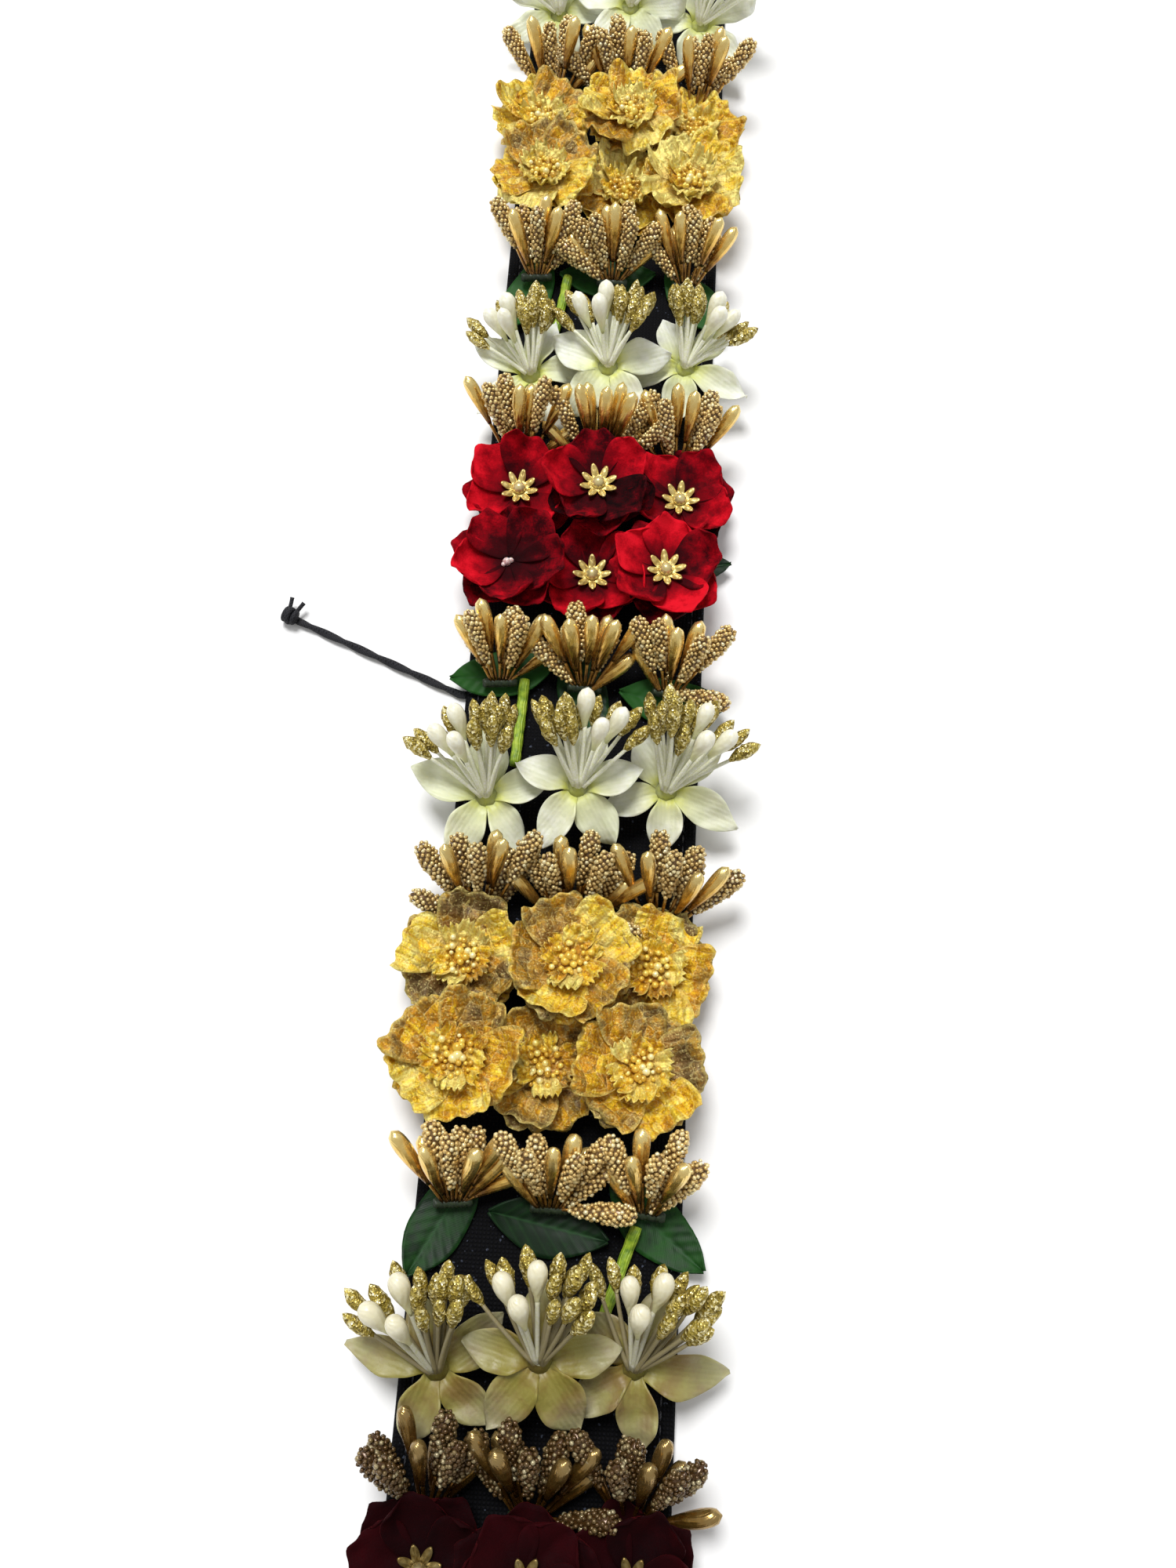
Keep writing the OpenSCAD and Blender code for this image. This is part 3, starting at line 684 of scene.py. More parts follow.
# Each wrap's place, tilt, size and thickness, all but the tilt in knot widths
for at, tilt, ring, wire in ((0.16, -22, 0.29, 0.15), (0.42, 16, 0.33, 0.17), (0.66, -14, 0.3, 0.15)):
    t = np.linspace(0, 2 * PI, 29)
    loop = join(at * KNOT_D + 0.5 * np.sin(t) * sind(tilt) * KNOT_D * ring, ring * KNOT_D * np.cos(t),
            ring * KNOT_D * np.sin(t))
    knot.tube(in_knot(loop), wire * KNOT_D, 12)
knot.tube(in_knot([(0, 0, -0.9), (1.2, 0, -0.3), (2.4, 0, 0), (3.5, 0, 0)]), [0.9, 1.4, 1.5, 1.0], 12)
for side in (-1, 1):
    x = (0.42 + 0.2 * side) * KNOT_D
    end = [(x, -0.25 * KNOT_D, 0), (x + 0.35 * side, -0.62 * KNOT_D, 0.3),
            (x + 0.75 * side, -0.95 * KNOT_D, 0.7)]
    knot.tube(in_knot(densify(end, 9)), np.r_[np.full(8, 0.52), 0.6], 10)
knot_piece = knot.piece("tie_knot_wraps", "tie", [ELASTIC], "tie_knot")


# The band

RING, SEAM_POINTS = 480, 4000
SEAM_INSET, SEAM_HALF, SEAM_Z = 3.1, 0.5, 2.22
STITCH, STITCH_SHARE = 2.6, 0.72
# Inset and height of each ring, from the middle of the underside to the top
BAND_PROFILE = ((1.0, 0.0), (0.3, 0.12), (0.0, 0.6), (0.0, 1.7), (0.35, 2.2), (1.1, BAND_T), (2.6, 2.36),
                (SEAM_INSET, 2.1), (3.6, 2.36), (5.2, BAND_T), (8.5, BAND_T))


def outline(inset):
    """Corner points of the band's rounded outline, set in by inset."""
    r = BAND_CORNER - inset
    x, y = BAND_W / 2 - BAND_CORNER, BAND_L / 2 - BAND_CORNER
    corners = [(cx + r * cosd(a), cy + r * sind(a))
            for cx, cy, start in ((x, y, 0), (-x, y, 90), (-x, -y, 180), (x, -y, 270))
            for a in np.linspace(start, start + 90, 13)]
    return np.array(corners + corners[:1])


band = Shell()
rings = []
for inset, z in BAND_PROFILE:
    pucker = 0.04 * np.sin(np.arange(RING) * PI / 2) * (abs(inset - SEAM_INSET) < SEAM_HALF + 0.1)
    rings.append(np.c_[densify(outline(inset), RING + 1)[:-1], np.full(RING, z) + pucker])
rings = np.array(rings)
band.hoops(rings, np.full((len(rings), RING, 4), 0.5), rings, (0 * UP, BAND_T * UP), flip=True)
band_pad = band.piece("band_pad", "band", [CLOTH], "backing_band")

stitches = Shell()
seam_l = run(outline(SEAM_INSET))[-1]
seam = densify(outline(SEAM_INSET), SEAM_POINTS + 1)[:-1]
for s in np.arange(0, seam_l, STITCH):
    first, last = (int(round(v / seam_l * SEAM_POINTS)) % SEAM_POINTS
            for v in (s, s + STITCH_SHARE * STITCH))
    start = np.r_[seam[first], SEAM_Z]
    t = np.linspace(0, 1, 5)[:, None]
    path = start + (np.r_[seam[last], SEAM_Z] - start) * t + UP * 0.16 * np.sin(PI * t)
    stitches.tube(path, [0.1, 0.2, 0.22, 0.2, 0.1], 6)
stitches.piece("band_stitches", "band", [THREAD], "backing_band")


# Gilt and velvet blooms

MIDDLE_DROP = 1.34


def bloom_place(name, i, row, col):
    """The bloom's middle, low enough for its petals to keep under its solid's top."""
    x, y = REPEATS[i].blooms[row][col] * COLUMN_PITCH, row_y(i, BLOOM_ROW_AT + row * BLOOM_ROW_PITCH)
    return join(x, y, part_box(name)[1].z / MM - BLOOM_RISE - MIDDLE_DROP)


def bloom_turn(i, row, col):
    return 90 + 24 * (row + 1) * (col - 1) + 11 * i


def rumple(pick, x, y, size):
    """Low crumples of about that size."""
    z = 0
    for _ in range(4):
        way, wave = pick(0, 360), size * pick(0.7, 1.4)
        z += np.sin(2 * PI * (x * cosd(way) + y * sind(way)) / wave + pick(0, 6.28))
    return z / 4


def bloom_petal(shell, pick, style, angle, middle, shade, tone, slant):
    """One petal of a bloom, from its middle outwards, cupped, folded and wavy at its edge."""
    s = SimpleNamespace(**style)
    u, v = grid(*s.grid)
    w = np.abs(v)
    phase = pick(0, 6.28, 4)
    start = 0.9
    reach = s.reach * (1 + pick(-0.07, 0.05))
    edge = reach * (1 - s.point * w ** 1.4 - s.round * w ** 5
            + s.scallop * np.cos(s.lobes * PI * v + phase[0]))
    x = start + (edge - start) * u
    wide = s.half * (1 + pick(-0.1, 0.1)) * curve(s.width, u)
    y = wide * v + s.skew * pick(-1, 1) * u ** 2
    z = s.steep * ball_z(BLOOM_BALL, np.minimum(np.hypot(x, y), 13.8)) + s.above
    z += s.over * v * u + s.lift * pick(-0.6, 1) * x
    z += s.ruffle * u ** 2.5 * np.sin(s.waves * PI * v + phase[1])
    z += s.crumple * u * rumple(pick, x, y, s.crush)
    z += s.fold * pick(0.5, 1.3) * (w - 0.4) * np.sin(np.minimum(u * 1.4, 1) * PI / 2)
    z += s.curl * pick(-0.6, 1) * u ** 4
    p = spin(join(x, y, z), angle)
    p[..., 2] += p[..., 0] * slant[0] + p[..., 1] * slant[1]
    shell.slab(p + middle, s.thick * (1 - 0.5 * np.maximum(u, w) ** 6), join(u, w, shade, tone),
            join(x, y, pick(0, PATCHES)))


VELVET_TOP = dict(grid=(17, 17), reach=14.3, half=7.2, point=0.17, round=0.08, scallop=0.02, lobes=2.1,
        steep=0.8, above=1.35, over=1.0, lift=0.05, ruffle=1.0, waves=1.5, crumple=0.8, crush=7, fold=2.0,
        curl=1.2, skew=1.2, thick=0.45,
        width=((0, 0.2), (0.25, 0.62), (0.5, 0.92), (0.7, 1), (0.87, 0.92), (1, 0.66)))
VELVET_UNDER = dict(VELVET_TOP, grid=(11, 13), reach=14.8, steep=0.4, above=-0.2, lift=0.02, ruffle=0.5,
        crumple=0.4, fold=0.7, curl=0.4)
GILT_OUTER = dict(grid=(19, 19), reach=13.8, half=7.3, point=0.0, round=0.05, scallop=0.03, lobes=3.1,
        steep=0.5, above=0.9, over=1.7, lift=0.1, ruffle=0.8, waves=2.2, crumple=1.9, crush=5.2, fold=0.5,
        curl=1.4, skew=1.8, thick=0.3,
        width=((0, 0.25), (0.2, 0.6), (0.42, 0.92), (0.65, 1.05), (0.88, 1.08), (1, 0.98)))
GILT_UNDER = dict(GILT_OUTER, grid=(11, 13), reach=13.2, half=6.6, steep=0.34, above=-0.4, over=0.5,
        lift=0.02, crumple=0.6, curl=0.6)
GILT_INNER = dict(GILT_OUTER, grid=(13, 15), reach=6.8, half=3.3, scallop=0.09, lobes=4.6, steep=2.0,
        above=1.7, over=0.9, ruffle=0.9, crumple=1.3, crush=2.1, curl=1.0, skew=0.9)
# A kind of bloom: names, materials, seed, how far its shade and slant vary, its stalk's place in the
# colours, and its rings of petals: style, count, turn, how far that varies, and range of shades. The
# under rings take darker shades: painted shade beneath the petals above them
Kind = namedtuple("Kind", "node suffix slot materials seed shades slant stalk rings")
KINDS = {
    "velvet": Kind("red_flower", "_velvet", "velvet", [VELVET, GLUE], 100, (-0.12, 0.16), 0.06, 0,
                   ((VELVET_UNDER, 5, 36, 5, 0.2, 0.7), (VELVET_TOP, 5, 0, 7, 0.36, 1.05))),
    "gilt": Kind("gold_flower", "_petals", "gilt_mesh", [GILT_MESH], 200, (-0.06, 0.1), 0.12, 0.6,
                 ((GILT_UNDER, 5, 36, 0, 0.0, 0.5), (GILT_OUTER, 5, 0, 12, 0.0, 0.95),
                  (GILT_INNER, 6, 36, 18, 0.35, 1.1))),
}


def bead_template(sides, rings):
    """A ball of unit radius, open in its underside's middle: points and faces, its top first."""
    points, faces = [(0, 0, 1)], []
    for n, polar in enumerate(rings[1:]):
        for k in range(sides):
            a = 360 / sides * (k + 0.5 * n)
            points.append((sind(polar) * cosd(a), sind(polar) * sind(a), cosd(polar)))
    for k in range(sides):
        after = (k + 1) % sides
        faces.append((0, 1 + k, 1 + after, -1))
        for n in range(len(rings) - 2):
            upper, lower = 1 + n * sides, 1 + (n + 1) * sides
            faces.append((upper + k, lower + k, upper + after, -1))
            faces.append((upper + after, lower + k, lower + after, -1))
    last = len(points) - sides
    for k in range(1, sides - 1, 2):
        fan = [last + c for c in range(k, min(k + 3, sides))]
        faces.append([last, *fan[::-1], -1][:4])
    return np.array(points, float), np.array(faces)


def scatter(shell, template, centres, normals, radii, looks, mat=0):
    """Copies of a template, one on each centre, standing along its normal."""
    points, faces = template
    n, m = len(centres), len(points)
    helper = np.where(np.abs(normals[:, 2:3]) < 0.9, UP, np.array([1.0, 0, 0]))
    e1 = unit(np.cross(helper, normals))
    e2 = np.cross(normals, e1)
    local = points[None] * np.broadcast_to(radii, (n,))[:, None, None]
    world = (centres[:, None] + local[..., :1] * e1[:, None] + local[..., 1:2] * e2[:, None]
            + local[..., 2:] * normals[:, None])
    lifted = np.where(faces[None] >= 0, faces[None] + (np.arange(n) * m)[:, None, None], -1 - shell.count)
    shell.add(world.reshape(-1, 3), lifted.reshape(-1, 4), np.repeat(looks, m, 0), world.reshape(-1, 3), mat)


ROUND_BEAD = bead_template(8, (0, 30, 60, 90, 125))
SEED_BEAD = bead_template(5, (0, 58, 108))
GLUE_DROP = bead_template(14, (0, 20, 40, 60, 80, 100, 125))
PEARL_BALL = bead_template(20, range(0, 151, 10))
SEED_R, SEED_SPACE = 0.56, 1.12


def bloom(name, kind, i, row, col):
    """The petals of one bloom on their stalk, and its beads or dabs of glue."""
    number = int(name[-2:])
    pick = np.random.default_rng(kind.seed + number).uniform
    at = bloom_place(name, i, row, col)
    turn = bloom_turn(i, row, col)
    shell = Shell()
    flower = pick(*kind.shades) + REPEATS[i].shade
    slant = pick(-kind.slant, kind.slant, 2)
    for style, count, first, vary, dark, light in kind.rings:
        for k in range(count):
            angle = turn + 360 / count * k + first + (pick(-vary, vary) if vary else 0)
            # Under rings take darker shades: painted shade beneath the upper petals
            bloom_petal(shell, pick, style, angle, at, flower + pick(dark, light), REPEATS[i].tone, slant)
    foot, top = at * (1, 1, 0) + FLOOR_Z * UP, at + UP
    path = np.array([foot, foot + 0.3 * UP, at * (1, 1, 0) + 0.5 * (FLOOR_Z + top[2]) * UP, top])
    shell.tube(path, STALK_D / 2 * np.array([1, 0.9, 0.85, 1]), 12,
            (kind.stalk, kind.stalk + 0.05, 0.3, 0.5))
    if (i, row, col) == BARE_BLOOM:
        dabs = np.array([(-0.5, -0.7, 1.75), (0.5, -0.2, 1.7), (-1.2, -1.5, 1.8)])
        scatter(shell, GLUE_DROP, at + dabs, np.array([UP] * 3), (1.05, 0.7, 0.6), np.full((3, 4), 0.5), 1)
    shell.piece(name + kind.suffix, kind.slot, kind.materials, name)
    if kind is KINDS["gilt"]:
        bead_cluster(name, pick, at)


def bead_cluster(name, pick, at):
    """Loose beads heaped round five large ones."""
    beads = Shell()
    count = 26
    k = np.arange(count)
    r = 0.88 * np.sqrt(k + 0.3) * (1 + pick(-0.16, 0.16, count))
    a = k * GOLDEN_TURN + pick(-0.2, 0.2, count) + pick(0, 6)
    size = np.where(k < 5, 0.95, 0.66) * (1 + pick(-0.28, 0.28, count))
    z = BLOOM_T + 1.9 + ball_z(7.5, np.minimum(r, 6)) * 0.7 - 0.12 * r + pick(-0.2, 0.5, count)
    centres = join(r * np.cos(a), r * np.sin(a), z) + at
    normals = unit(join(0.3 * np.cos(a), 0.3 * np.sin(a), 1))
    scatter(beads, ROUND_BEAD, centres, normals, size, join(0.5, 0.5, pick(0.1, 1, count), 0.5))
    beads.tube([at + 0.8 * UP, at + 1.6 * UP, at + 3.0 * UP], [1.6, 2.0, 1.2], 14, (0, 1, 0.2, 0.5))
    beads.piece(name + "_beads", "gilt", [BEADS], name)


def star_cap(gilt, pearls, pick, name, i, row, col):
    """An eight-pointed filigree cap with a raised collar round its pearl."""
    at = bloom_place(name, i, row, col)
    at[2] += BLOOM_T + 0.45
    turn = bloom_turn(i, row, col) + pick(-12, 12)
    rays, hole, collar_r = 8, 0.15, 1.9
    s, a = np.meshgrid(np.linspace(0, 1, 11), np.arange(rays * 12 + 1) * 2 * PI / (rays * 12), indexing="ij")
    ray = (0.5 + 0.5 * np.cos(rays * a)) ** 0.5
    tip = 0.5 * STAR_D / 2 + (0.58 * STAR_D / 2) * ray * (1 + 0.07 * np.sin(3 * a + i + col))
    r = hole + s * (tip - hole)
    ridge = 0.5 * ray * ease((r - collar_r) / 0.9) * (1 - 0.5 * s ** 4)
    collar = 0.5 * np.exp(-((r - collar_r) / 0.3) ** 2) * (0.8 + 0.2 * np.cos(24 * a))
    dish = 0.18 * np.cos(rays * a + PI) * np.exp(-((r - 3.0) / 0.4) ** 2)
    z = 0.75 * ball_z(ball_r(STAR_D / 2, 0.2 * STAR_D), r) + ridge + collar - dish + 0.35
    p = join(r * np.cos(a), r * np.sin(a), z)
    bright = np.clip(0.1 + 1.1 * ray * (r > 2.0) + 1.6 * collar, 0, 1)
    # The cap and pearl take the repeat's painted shade
    gilt.slab(spin(p, turn) + at, 0.45, join(s, bright, 0.5, REPEATS[i].tone), p)
    scatter(pearls, PEARL_BALL, (at + 1.05 * UP)[None], UP[None], 0.41 * PEARL_D,
            np.array([[0.5, 0.5, 0.5, REPEATS[i].tone]]))


caps, pearls = Shell(), Shell()
cap_pick = np.random.default_rng(7).uniform
made = {"gilt": 0, "velvet": 0}
for i, repeat in enumerate(REPEATS):
    for row in range(2):
        for col in COLUMNS:
            made[repeat.kind] += 1
            name = f"{KINDS[repeat.kind].node}_{made[repeat.kind]:02d}"
            bloom(name, KINDS[repeat.kind], i, row, col)
            if repeat.kind == "velvet" and (i, row, col) != BARE_BLOOM:
                star_cap(caps, pearls, cap_pick, name, i, row, col)
caps.piece("star_caps_filigree", "gilt", [ANTIQUE], "star_caps")
pearls.piece("star_caps_pearls", "gilt", [PEARL], "star_caps")


# Jasmine flowers with their buds and stamens

gaps = [b - a for repeat in REPEATS for a, b in (repeat.across[:2], repeat.across[1:])]
PETAL_TIP = PETAL_BALL - math.sqrt((PETAL_BALL - PETAL_T) ** 2 - JASMINE_R ** 2)
JASMINE_LIFT = (PETAL_TIP - float(ball_z(PETAL_BALL, COLUMN_PITCH * min(gaps) - JASMINE_R))
        + SEAT_GAP) / cosd(JASMINE_LEAN)
# How wide each form is, from its base to its tip
PETAL_SHAPE = ((0, 0.34), (0.15, 0.5), (0.33, 0.86), (0.48, 1), (0.64, 0.93), (0.8, 0.66), (0.92, 0.32),
        (1, 0.03))
BUD_SHAPE = ((0, 0.2), (0.18, 0.36), (0.42, 0.72), (0.62, 0.97), (0.75, 1), (0.88, 0.8), (0.96, 0.45),
        (1, 0.06))
ANTHER_SHAPE = ((0, 0.16), (0.14, 0.5), (0.35, 0.88), (0.52, 1), (0.7, 0.92), (0.86, 0.62), (0.95, 0.32),
        (1, 0.05))
PIP_SHAPE = ((0, 0.3), (0.1, 0.42), (0.3, 0.68), (0.55, 0.93), (0.75, 1), (0.88, 0.86), (0.96, 0.55),
        (1, 0.08))
CLUB_SHAPE = ((0, 0.24), (0.12, 0.46), (0.35, 0.74), (0.6, 0.96), (0.78, 1), (0.9, 0.82), (0.97, 0.5),
        (1, 0.1))
# Stamens by tier: how many, which way they go on, the first one's place and turn, their fan, their
# tier's slope and the reach of even and odd ones
STAMEN_TIERS = ((4, 1, 0, 0.3, STAMEN_FAN, 0, 0.97, 0.88), (3, 1, 0.5, 0.7, STAMEN_FAN, 1, 0.9, 0.98),
        (4, -1, -1, 0.8, 7.5, -0.7, 0.96, 0.88), (3, 1, 0.2, 0.6, 7, 1.8, 0.82, 0.9))


def throat_place(i, col):
    """The flower's middle. The middle column stands higher, over its neighbours' petals."""
    y = row_y(i, REPEATS[i].along[col] * REPEAT_L)
    z = FLOOR_Z + JASMINE_H + (JASMINE_LIFT if col == 1 else 0)
    return join(REPEATS[i].across[col] * COLUMN_PITCH, y, z)


def in_throat(p, at):
    return lean(p, JASMINE_LEAN) + at


def jasmine_flower(i, col):
    """Five pointed petals round a cup, on a tube that stands on the band."""
    at = throat_place(i, col)
    pick = np.random.default_rng(300 + 3 * i + col).uniform
    turn = 90 if col == 1 else 90 + 16 * (col - 1) + 9 * i
    shell = Shell()
    # The repeat's painted shade, varied a little for each flower
    flower_falloff_shade = REPEATS[i].tone + pick(0, 0.15)
    broad = 1.32 if col == 1 else 1.16
    start = 0.6
    u, v = grid(23, 11)
    w = np.abs(v)
    for k in range(5):
        phase = pick(0, 6.28, 3)
        outward = max(0, (col - 1) * cosd(turn + 72 * k)) ** 2
        reach = JASMINE_R * (1 + pick(-0.06, 0.07) + 0.2 * outward)
        x = start + (reach - start) * u
        bend = pick(-2.6, 2.6) * u ** 2
        half = 0.5 * PETAL_W * broad * (1 + pick(-0.18, 0.08))
        y = half * curve(PETAL_SHAPE, u) * v + bend
        z = -ball_z(PETAL_BALL, x) - 1.5 * (1 - ease(u / 0.22)) + 0.35
        z += pick(0.3, 2.2) * v ** 2 * np.sin(PI * np.minimum(u * 1.1, 1))
        z -= 0.25 * np.exp(-(v / 0.16) ** 2) * np.sin(PI * u)
        z += 0.9 * u * np.sin(2.2 * PI * u + phase[0]) * v + pick(-0.6, 3.0) * u ** 3
        z += 1.9 * pick(-1, 1) * v * u + 0.6 * u * rumple(pick, x, y, 6)
        z += 0.4 * np.sin(5 * PI * u + phase[1]) * v ** 2 * np.sin(PI * u)
        look, flat = join(u, w, pick(0, 1), flower_falloff_shade), join(x, y, pick(0, PATCHES))
        petal = spin(join(x, y, z), turn + 72 * k + pick(-6, 6))
        shell.slab(in_throat(petal, at), 0.5 * (1 - 0.6 * np.maximum(u, w) ** 4), look, flat)
    s = np.linspace(0, 1, 7)
    shell.tube(in_throat(join(0, 0, -2.1 + 1.7 * s), at), 1.1 + 1.5 * s ** 1.5, 16, (0, 0.12, 0.5, flower_falloff_shade))
    foot = join(at[0], at[1], FLOOR_Z)
    neck = in_throat(-2.0 * UP, at)
    path = foot + (neck - foot) * np.array([0, 0.04, 0.35, 0.7, 1])[:, None]
    shell.tube(path, TUBE_D * np.array([0.7, 0.5, 0.42, 0.46, 0.5]), 14, (0, 0.3, 0.5, 0.5), 1)
    node = f"white_flower_{3 * i + col + 1:02d}"
    shell.piece(node + "_petals", "jasmine", [JASMINE, TUBE], node)


def drop_head(shell, pick, tip, direction, length, radius, shape, grain, rough=0.0, tone=0.0):
    """A smooth or grainy drop that ends at its tip."""
    sides, rings = grain
    s = np.linspace(0, 1, rings)[:, None]
    path = tip - direction * length * (1 - s)
    path = path + unit(np.cross(direction, UP)) * pick(-0.3, 0.3) * np.sin(PI * s)
    share = 1 + rough * pick(-1, 1, (rings, sides)) if rough else 1
    shell.tube(path, radius * curve(shape, s[:, 0]), sides, (0, 1, pick(0, 1), tone), share=share)


def jasmine_bundle(buds, stamens, i, col):
    """The buds on one side of a flower's throat and the stamens on the other."""
    at = throat_place(i, col)
    pick = np.random.default_rng(400 + 3 * i + col).uniform
    tone = REPEATS[i].tone
    rise = STAMEN_SLOPE + REPEATS[i].rise
    span = STAMEN_L * REPEATS[i].span
    deep = -0.8

    def in_bundle(p):
        p = spin(np.asarray(p, float), -BUNDLE_SWING * (col - 1)) + (THROAT_H + SEAT_GAP + FOOT_R) * UP
        return in_throat(p, at)

    def stem(shell, foot, end, bow, short, radii, sides, shade):
        """A thread from its foot to inside its head. Gives its direction."""
        d = unit(end - foot)
        path = curved(foot, d, np.linalg.norm(end - foot) - short, bow(), 9)
        shell.tube(in_bundle(path), np.linspace(*radii, 9), sides, (0, 1, 0.5, shade), 1)
        return d

    def knob(shell, side):
        """The knob that the threads come out of."""
        t = np.linspace(0, 1, 7)
        shell.tube(in_bundle(join(side * t, 0, -1.5 + 0.3 * t)),
                FOOT_R * np.array([0.6, 0.66, 0.62, 0.55, 0.45, 0.35, 0.15]), 12, (0, 1, 0.5, 0.1), 1)

    side = REPEATS[i].bud_side[col]
    for place, swing, slope, share in ((0, 3, 0, 1.0), (1, 17, 0, 0.9), (0.5, 9, 13, 0.84)):
        d = lay(side * (swing - 3) * 1.5 + pick(-3, 3), rise + 1.4 * slope + pick(4, 9))
        end = join(side * (1.9 * FILAMENT_D + place * PITCH), 0, 0) + d * share * span
        foot = join(side * (0.4 + 0.35 * place), 0, deep)
        d = stem(buds, foot, end, lambda: (0, 0, pick(-0.2, 0.5)), BUD_L - 0.6, (0.55, 0.5), 8, 0.5 * tone)
        head = Shell()
        drop_head(head, pick, end, d, 1.12 * BUD_L, 0.5 * BUD_D * pick(0.9, 1.06), BUD_SHAPE, (16, 15),
                tone=tone)
        buds.take(head, in_bundle)
    knob(buds, side)

    side = -side
    stems = [(first + way * k, way * (k + turn) * fan, tier * STAMEN_TIER, reach[k % 2])
            for count, way, first, turn, fan, tier, *reach in STAMEN_TIERS for k in range(count)]
    for place, swing, slope, share in stems:
        d = lay(side * swing * 1.35 + pick(-4, 4), rise + slope + pick(-3, 4))
        end = join(side * (0.75 * FILAMENT_D + place * PITCH), 0, 0)
        end = end + d * share * (1.04 + pick(-0.08, 0.06)) * span
        foot = join(side * 0.3 * place, pick(-0.4, 0.4), deep)
        d = stem(stamens, foot, end, lambda: (pick(-0.4, 0.4), 0, pick(-0.2, 0.5)), 1.2 * ANTHER_L - 0.5,
                (0.56, 0.42), 7, tone)
        head = Shell()
        drop_head(head, pick, end, d, ANTHER_L * pick(1.2, 1.42), ANTHER_D / 2 * pick(1.15, 1.45),
                ANTHER_SHAPE, (12, 12), rough=0.12, tone=tone)
        stamens.take(head, in_bundle)
    knob(stamens, side)


for i in range(len(REPEATS)):
    buds, stamens = Shell(), Shell()
    for col in COLUMNS:
        jasmine_flower(i, col)
        jasmine_bundle(buds, stamens, i, col)
    buds.piece(f"buds_{i + 1:02d}", "jasmine", [BUD, FILAMENT], f"bud_spray_row_{i + 1:02d}")
    stamens.piece(f"stamens_{i + 1:02d}", "stamen", [GLITTER, FILAMENT], f"stamen_row_{i + 1:02d}")


# Sprays of pips

def sugared_head(shell, pick, tip, direction, length, radius, tone):
    """A club covered with seed beads set in a spiral."""
    core = radius - 0.5
    s = np.linspace(0, 1, 9)
    # The core's shade of 0 gives the darkest brown: painted shade between the seed beads
    shell.tube(tip - direction * length * (1 - s[:, None]), core * curve(CLUB_SHAPE, s), 8,
            (0, 1, 0, tone), 1)
    fine = np.linspace(0.02, 0.985, 200)
    r = core * curve(CLUB_SHAPE, fine)
    slope = np.gradient(r, fine * length)
    area = np.cumsum(r * np.sqrt(1 + slope ** 2))
    count = int(2 * PI * area[-1] * (fine[1] - fine[0]) * length / SEED_SPACE)
    at = np.interp((np.arange(count) + 0.5) / count * area[-1], area, fine)
    angle = np.arange(count) * GOLDEN_TURN + pick(0, 6)
    e1 = unit(np.cross(direction, UP))
    e2 = np.cross(direction, e1)
    out = np.cos(angle)[:, None] * e1 + np.sin(angle)[:, None] * e2
    normals = unit(out - direction * np.interp(at, fine, slope)[:, None])
    centres = tip - direction * length * (1 - at[:, None]) + out * np.interp(at, fine, r)[:, None]
    centres = centres + pick(-0.2, 0.2, (count, 3))
    size = SEED_R * (1 + pick(-0.2, 0.2, count))
    scatter(shell, SEED_BEAD, centres, normals, size, join(at, 0.5, pick(0.15, 1, count), tone), 1)


# Pips that lie out of line, by tier, repeat and column: turn, slope, reach and whether sugared
STRAYS = {
    ("lower", 2, 0): ((72, 12, 0.85, 0),),
    ("lower", 2, 1): ((94, 12, 0.82, 1),),
    ("upper", 2, 0): ((-70, 20, 0.62, 1),),
    ("upper", 2, 1): ((104, 26, 0.72, 1), (58, 30, 0.9, 0)),
    ("upper", 2, 2): ((46, 24, 1.0, 1),),
    ("lower", 1, 2): ((96, 14, 0.62, 1),),
    ("upper", 1, 1): ((56, 28, 0.9, 1),),
    ("upper", 3, 1): ((80, 26, 0.75, 1),),
    ("upper", 3, 2): ((72, 22, 0.75, 0),),
    ("upper", 0, 1): ((-58, 26, 0.9, 1), (60, 30, 0.9, 0)),
    ("lower", 0, 1): ((-64, 24, 0.8, 1),),
}


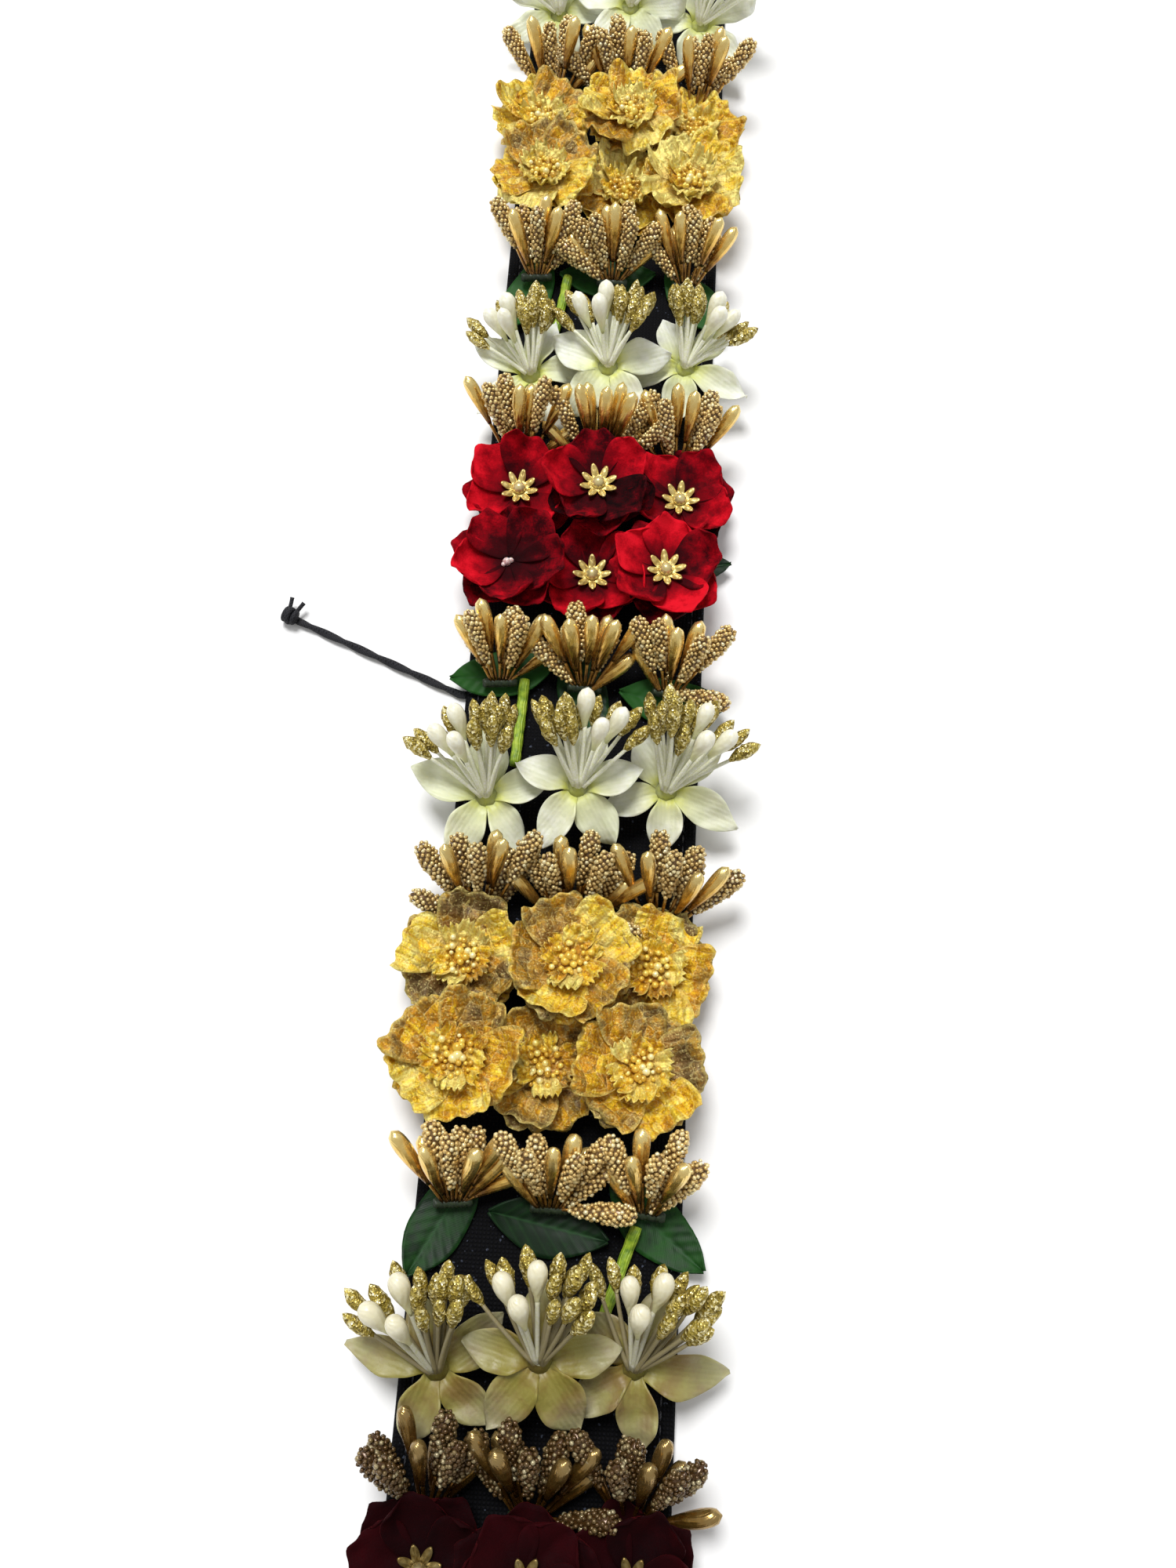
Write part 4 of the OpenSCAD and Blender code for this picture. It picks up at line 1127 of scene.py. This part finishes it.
def pip_spray(shell, pick, shift, move, strays, tone, reach, fillers, plain):
    """Pips in three tiers, with fillers at the sides and strays, bound with a taped bar."""
    pips = []

    def pip(x, turn, slope, share, smooth, size=1):
        pips.append((x, turn, slope, share * PIP_REACH, smooth, SMOOTH_D if smooth else size * SUGARED_D))

    for k in range(4):
        x = k - 1.5
        pip(x * WIRE_PITCH, x * PIP_FAN, PIP_SLOPE, 1 if (k + shift) % 3 else 0.92, (k + shift) % 3 in plain)
    for k in range(3):
        smooth = (k + shift) % 2 == 0 or len(plain) > 1 and k == 1
        pip((k - 1) * WIRE_PITCH, (k - 1) * PIP_FAN, PIP_SLOPE + PIP_TIER, 0.94, smooth, 0.88)
    for k in range(2):
        x = k - 0.5
        pip(x * 1.4 * WIRE_PITCH, x * 1.7 * PIP_FAN + 6 * (shift % 3 - 1), PIP_SLOPE - 12, 0.8,
                (k + shift) % 2 == 0, 0.9)
    for way in fillers:
        pip(way * 0.4 * BINDING_W, way * pick(38, 58), pick(14, 26), pick(0.66, 0.8),
                (shift + way) % 3 > 0, 0.9)
    for turn, slope, share, beaded in strays:
        pip(math.copysign(0.36 * BINDING_W, turn), turn, slope, share, not beaded)
    spray = Shell()
    for x, turn, slope, length, smooth, size in pips:
        foot = join(0.72 * x, 0, 0)
        d = lay(turn * (1.65 if abs(turn) < 30 else 1) + pick(-5, 5), slope + pick(-4, 4))
        length = reach * length * (1 + pick(-0.06, 0.08))
        head = PIP_L * pick(1.04, 1.22)
        wire = curved(foot, d, length - head + 1.0, (0, 0, pick(-0.2, 0.3)), 5)
        spray.tube(wire, 0.42 * WIRE_D, 7, (0, 0.35, 0.3, tone))
        radius = size / 2 * pick(1.0, 1.15 if smooth else 1.08)
        if smooth:
            drop_head(spray, pick, foot + d * length, d, head, radius, PIP_SHAPE, (14, 15), tone=tone)
        else:
            sugared_head(spray, pick, foot + d * length, d, head, radius, tone)
    turns = 21
    radii = BINDING_D / 2 * np.where(np.arange(turns) % 2 == 0, 0.58, 0.5)
    radii[[0, -1]] = BINDING_D / 2 * 0.4
    spray.tube(join(BINDING_W * np.linspace(-0.5, 0.5, turns), 0, -0.3 * BINDING_D / 2), radii, 16, mat=2)
    shell.take(spray, move)


def pip_row(i, tier, along, shift):
    """One row of three sprays."""
    upper = tier == "upper"
    node = f"{tier}_pip_row_{i + 1:02d}"
    pick = np.random.default_rng((500 if upper else 600) + i).uniform
    shell = Shell()
    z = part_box(node)[0].z / MM + BINDING_D / 2
    for col in COLUMNS:
        place = join((col - 1) * COLUMN_PITCH, row_y(i, along), z)
        # Only the upper pips take the repeat's painted shade
        pip_spray(shell, pick, shift + col, lambda p: spin(p, -SPRAY_SWING * (col - 1)) + place,
                STRAYS.get((tier, i, col), ()), REPEATS[i].tone * upper, 1.17 if upper else 1.0,
                [way for way in (-1, 1) if abs(col - 1 + way) < 2], (0, 1) if i == 1 else (1,))
    shell.piece(f"{tier}_pips_{i + 1:02d}", "pip", [PIP, SUGAR, TAPE], node)


for i in range(len(REPEATS)):
    pip_row(i, "upper", UPPER_SPRAY_AT, i)
    pip_row(i, "lower", LOWER_SPRAY_AT, i + 2)


# Leaves and stems

def leaf(shell, pick, x, y, heading, scale=1.0, bright=0.0):
    """A pointed leaf with a sunk rib, raised veins and a wavy edge."""
    length, width = scale * LEAF_L, scale * LEAF_W
    u, v = grid(31, 15)
    w = np.abs(v)
    along = (u - 0.5) * length
    arc = ball_r(length / 2, width / 2)
    half = np.sqrt(np.maximum(arc * arc - along ** 2, 0)) - (arc - width / 2)
    half = np.maximum(half * (1 + 0.05 * np.sin(9 * u + pick(0, 6))), 0.08)
    across = half * v
    z = ball_z(LEAF_BALL, along) + 0.75
    z = z - 0.35 * np.exp(-(v / 0.13) ** 2) + 0.25 * w
    z += 0.05 * np.sin((along - np.abs(across)) * 2.1) * w + 0.35 * np.sin(7 * u + pick(0, 6)) * v ** 2
    p = join(along, across, np.maximum(z, 0.5))
    # bright lifts the leaf's shade: painted light on leaves that lie in the pips' shadow
    look, flat = join(u, w, pick(0.2, 0.9) + bright, 0.5), join(along, across, pick(0, PATCHES))
    shell.slab(spin(p, heading) + join(x, y, FLOOR_Z), 0.5, look, flat)


for i, spots in enumerate(LEAF_SPOTS):
    node = f"leaf_row_{i + 1:02d}"
    pick = np.random.default_rng(700 + i).uniform
    leaves, stems = Shell(), Shell()
    for column, across, along, heading in spots:
        leaf(leaves, pick, column * COLUMN_PITCH + across * LEAF_L,
                row_y(i, LOWER_SPRAY_AT) + along * LEAF_L, heading, bright=LEAF_PAINTED_LIGHT[i])
    for repeat, across, along, heading in SIDE_LEAVES:
        if repeat == i:
            leaf(leaves, pick, across * COLUMN_PITCH, row_y(i, along * REPEAT_L), heading, SIDE_LEAF)
    leaves.piece(f"leaves_{i + 1:02d}", "leaf", [LEAF], node)
    repeat, across, down, heading = STEMS[i]
    start = join(across * COLUMN_PITCH, row_y(i, STEM_AT + down * STEM_L), FLOOR_Z + STEM_D / 2)
    d = join(cosd(heading), sind(heading), 0)
    rising = [start - d * back + UP * up for back, up in ((5, 1.5), (3.6, 1.35), (2.2, 0.9), (1.0, 0.3))]
    path = np.concatenate([rising, curved(start, d, STEM_L, (0, 0, 0), 15)])
    stems.tube(path, STEM_D / 2 * (1 - 0.06 * np.cos(np.arange(len(path)) * 1.7)), 14)
    stems.piece(f"stems_{i + 1:02d}", "leaf", [STEM], node)


# Floor and light

floor_mesh = bpy.data.meshes.new("floor")
floor_mesh.from_pydata([(-3, -3, 0), (3, -3, 0), (3, 3, 0), (-3, 3, 0)], [], [(0, 1, 2, 3)])
floor = add_object("floor", floor_mesh)
paper = Paint("floor_paper")
paper.set(Base_Color=(0.92, 0.92, 0.92, 1), Roughness=0.9, Specular_IOR_Level=0.1)
floor_mesh.materials.append(paper.material)

key = bpy.data.lights.new("key", "SUN")
key.energy = 2.9
key.angle = math.radians(24)
add_object("key", key).rotation_euler = (math.radians(-24), math.radians(-11), 0)
world = bpy.data.worlds.new("studio")
bpy.context.scene.world = world
world.use_nodes = True
background = world.node_tree.nodes["Background"]
background.inputs["Color"].default_value = (1, 1, 1, 1)
background.inputs["Strength"].default_value = 0.5
bpy.context.scene.view_settings.view_transform = "Standard"

bpy.context.view_layer.update()
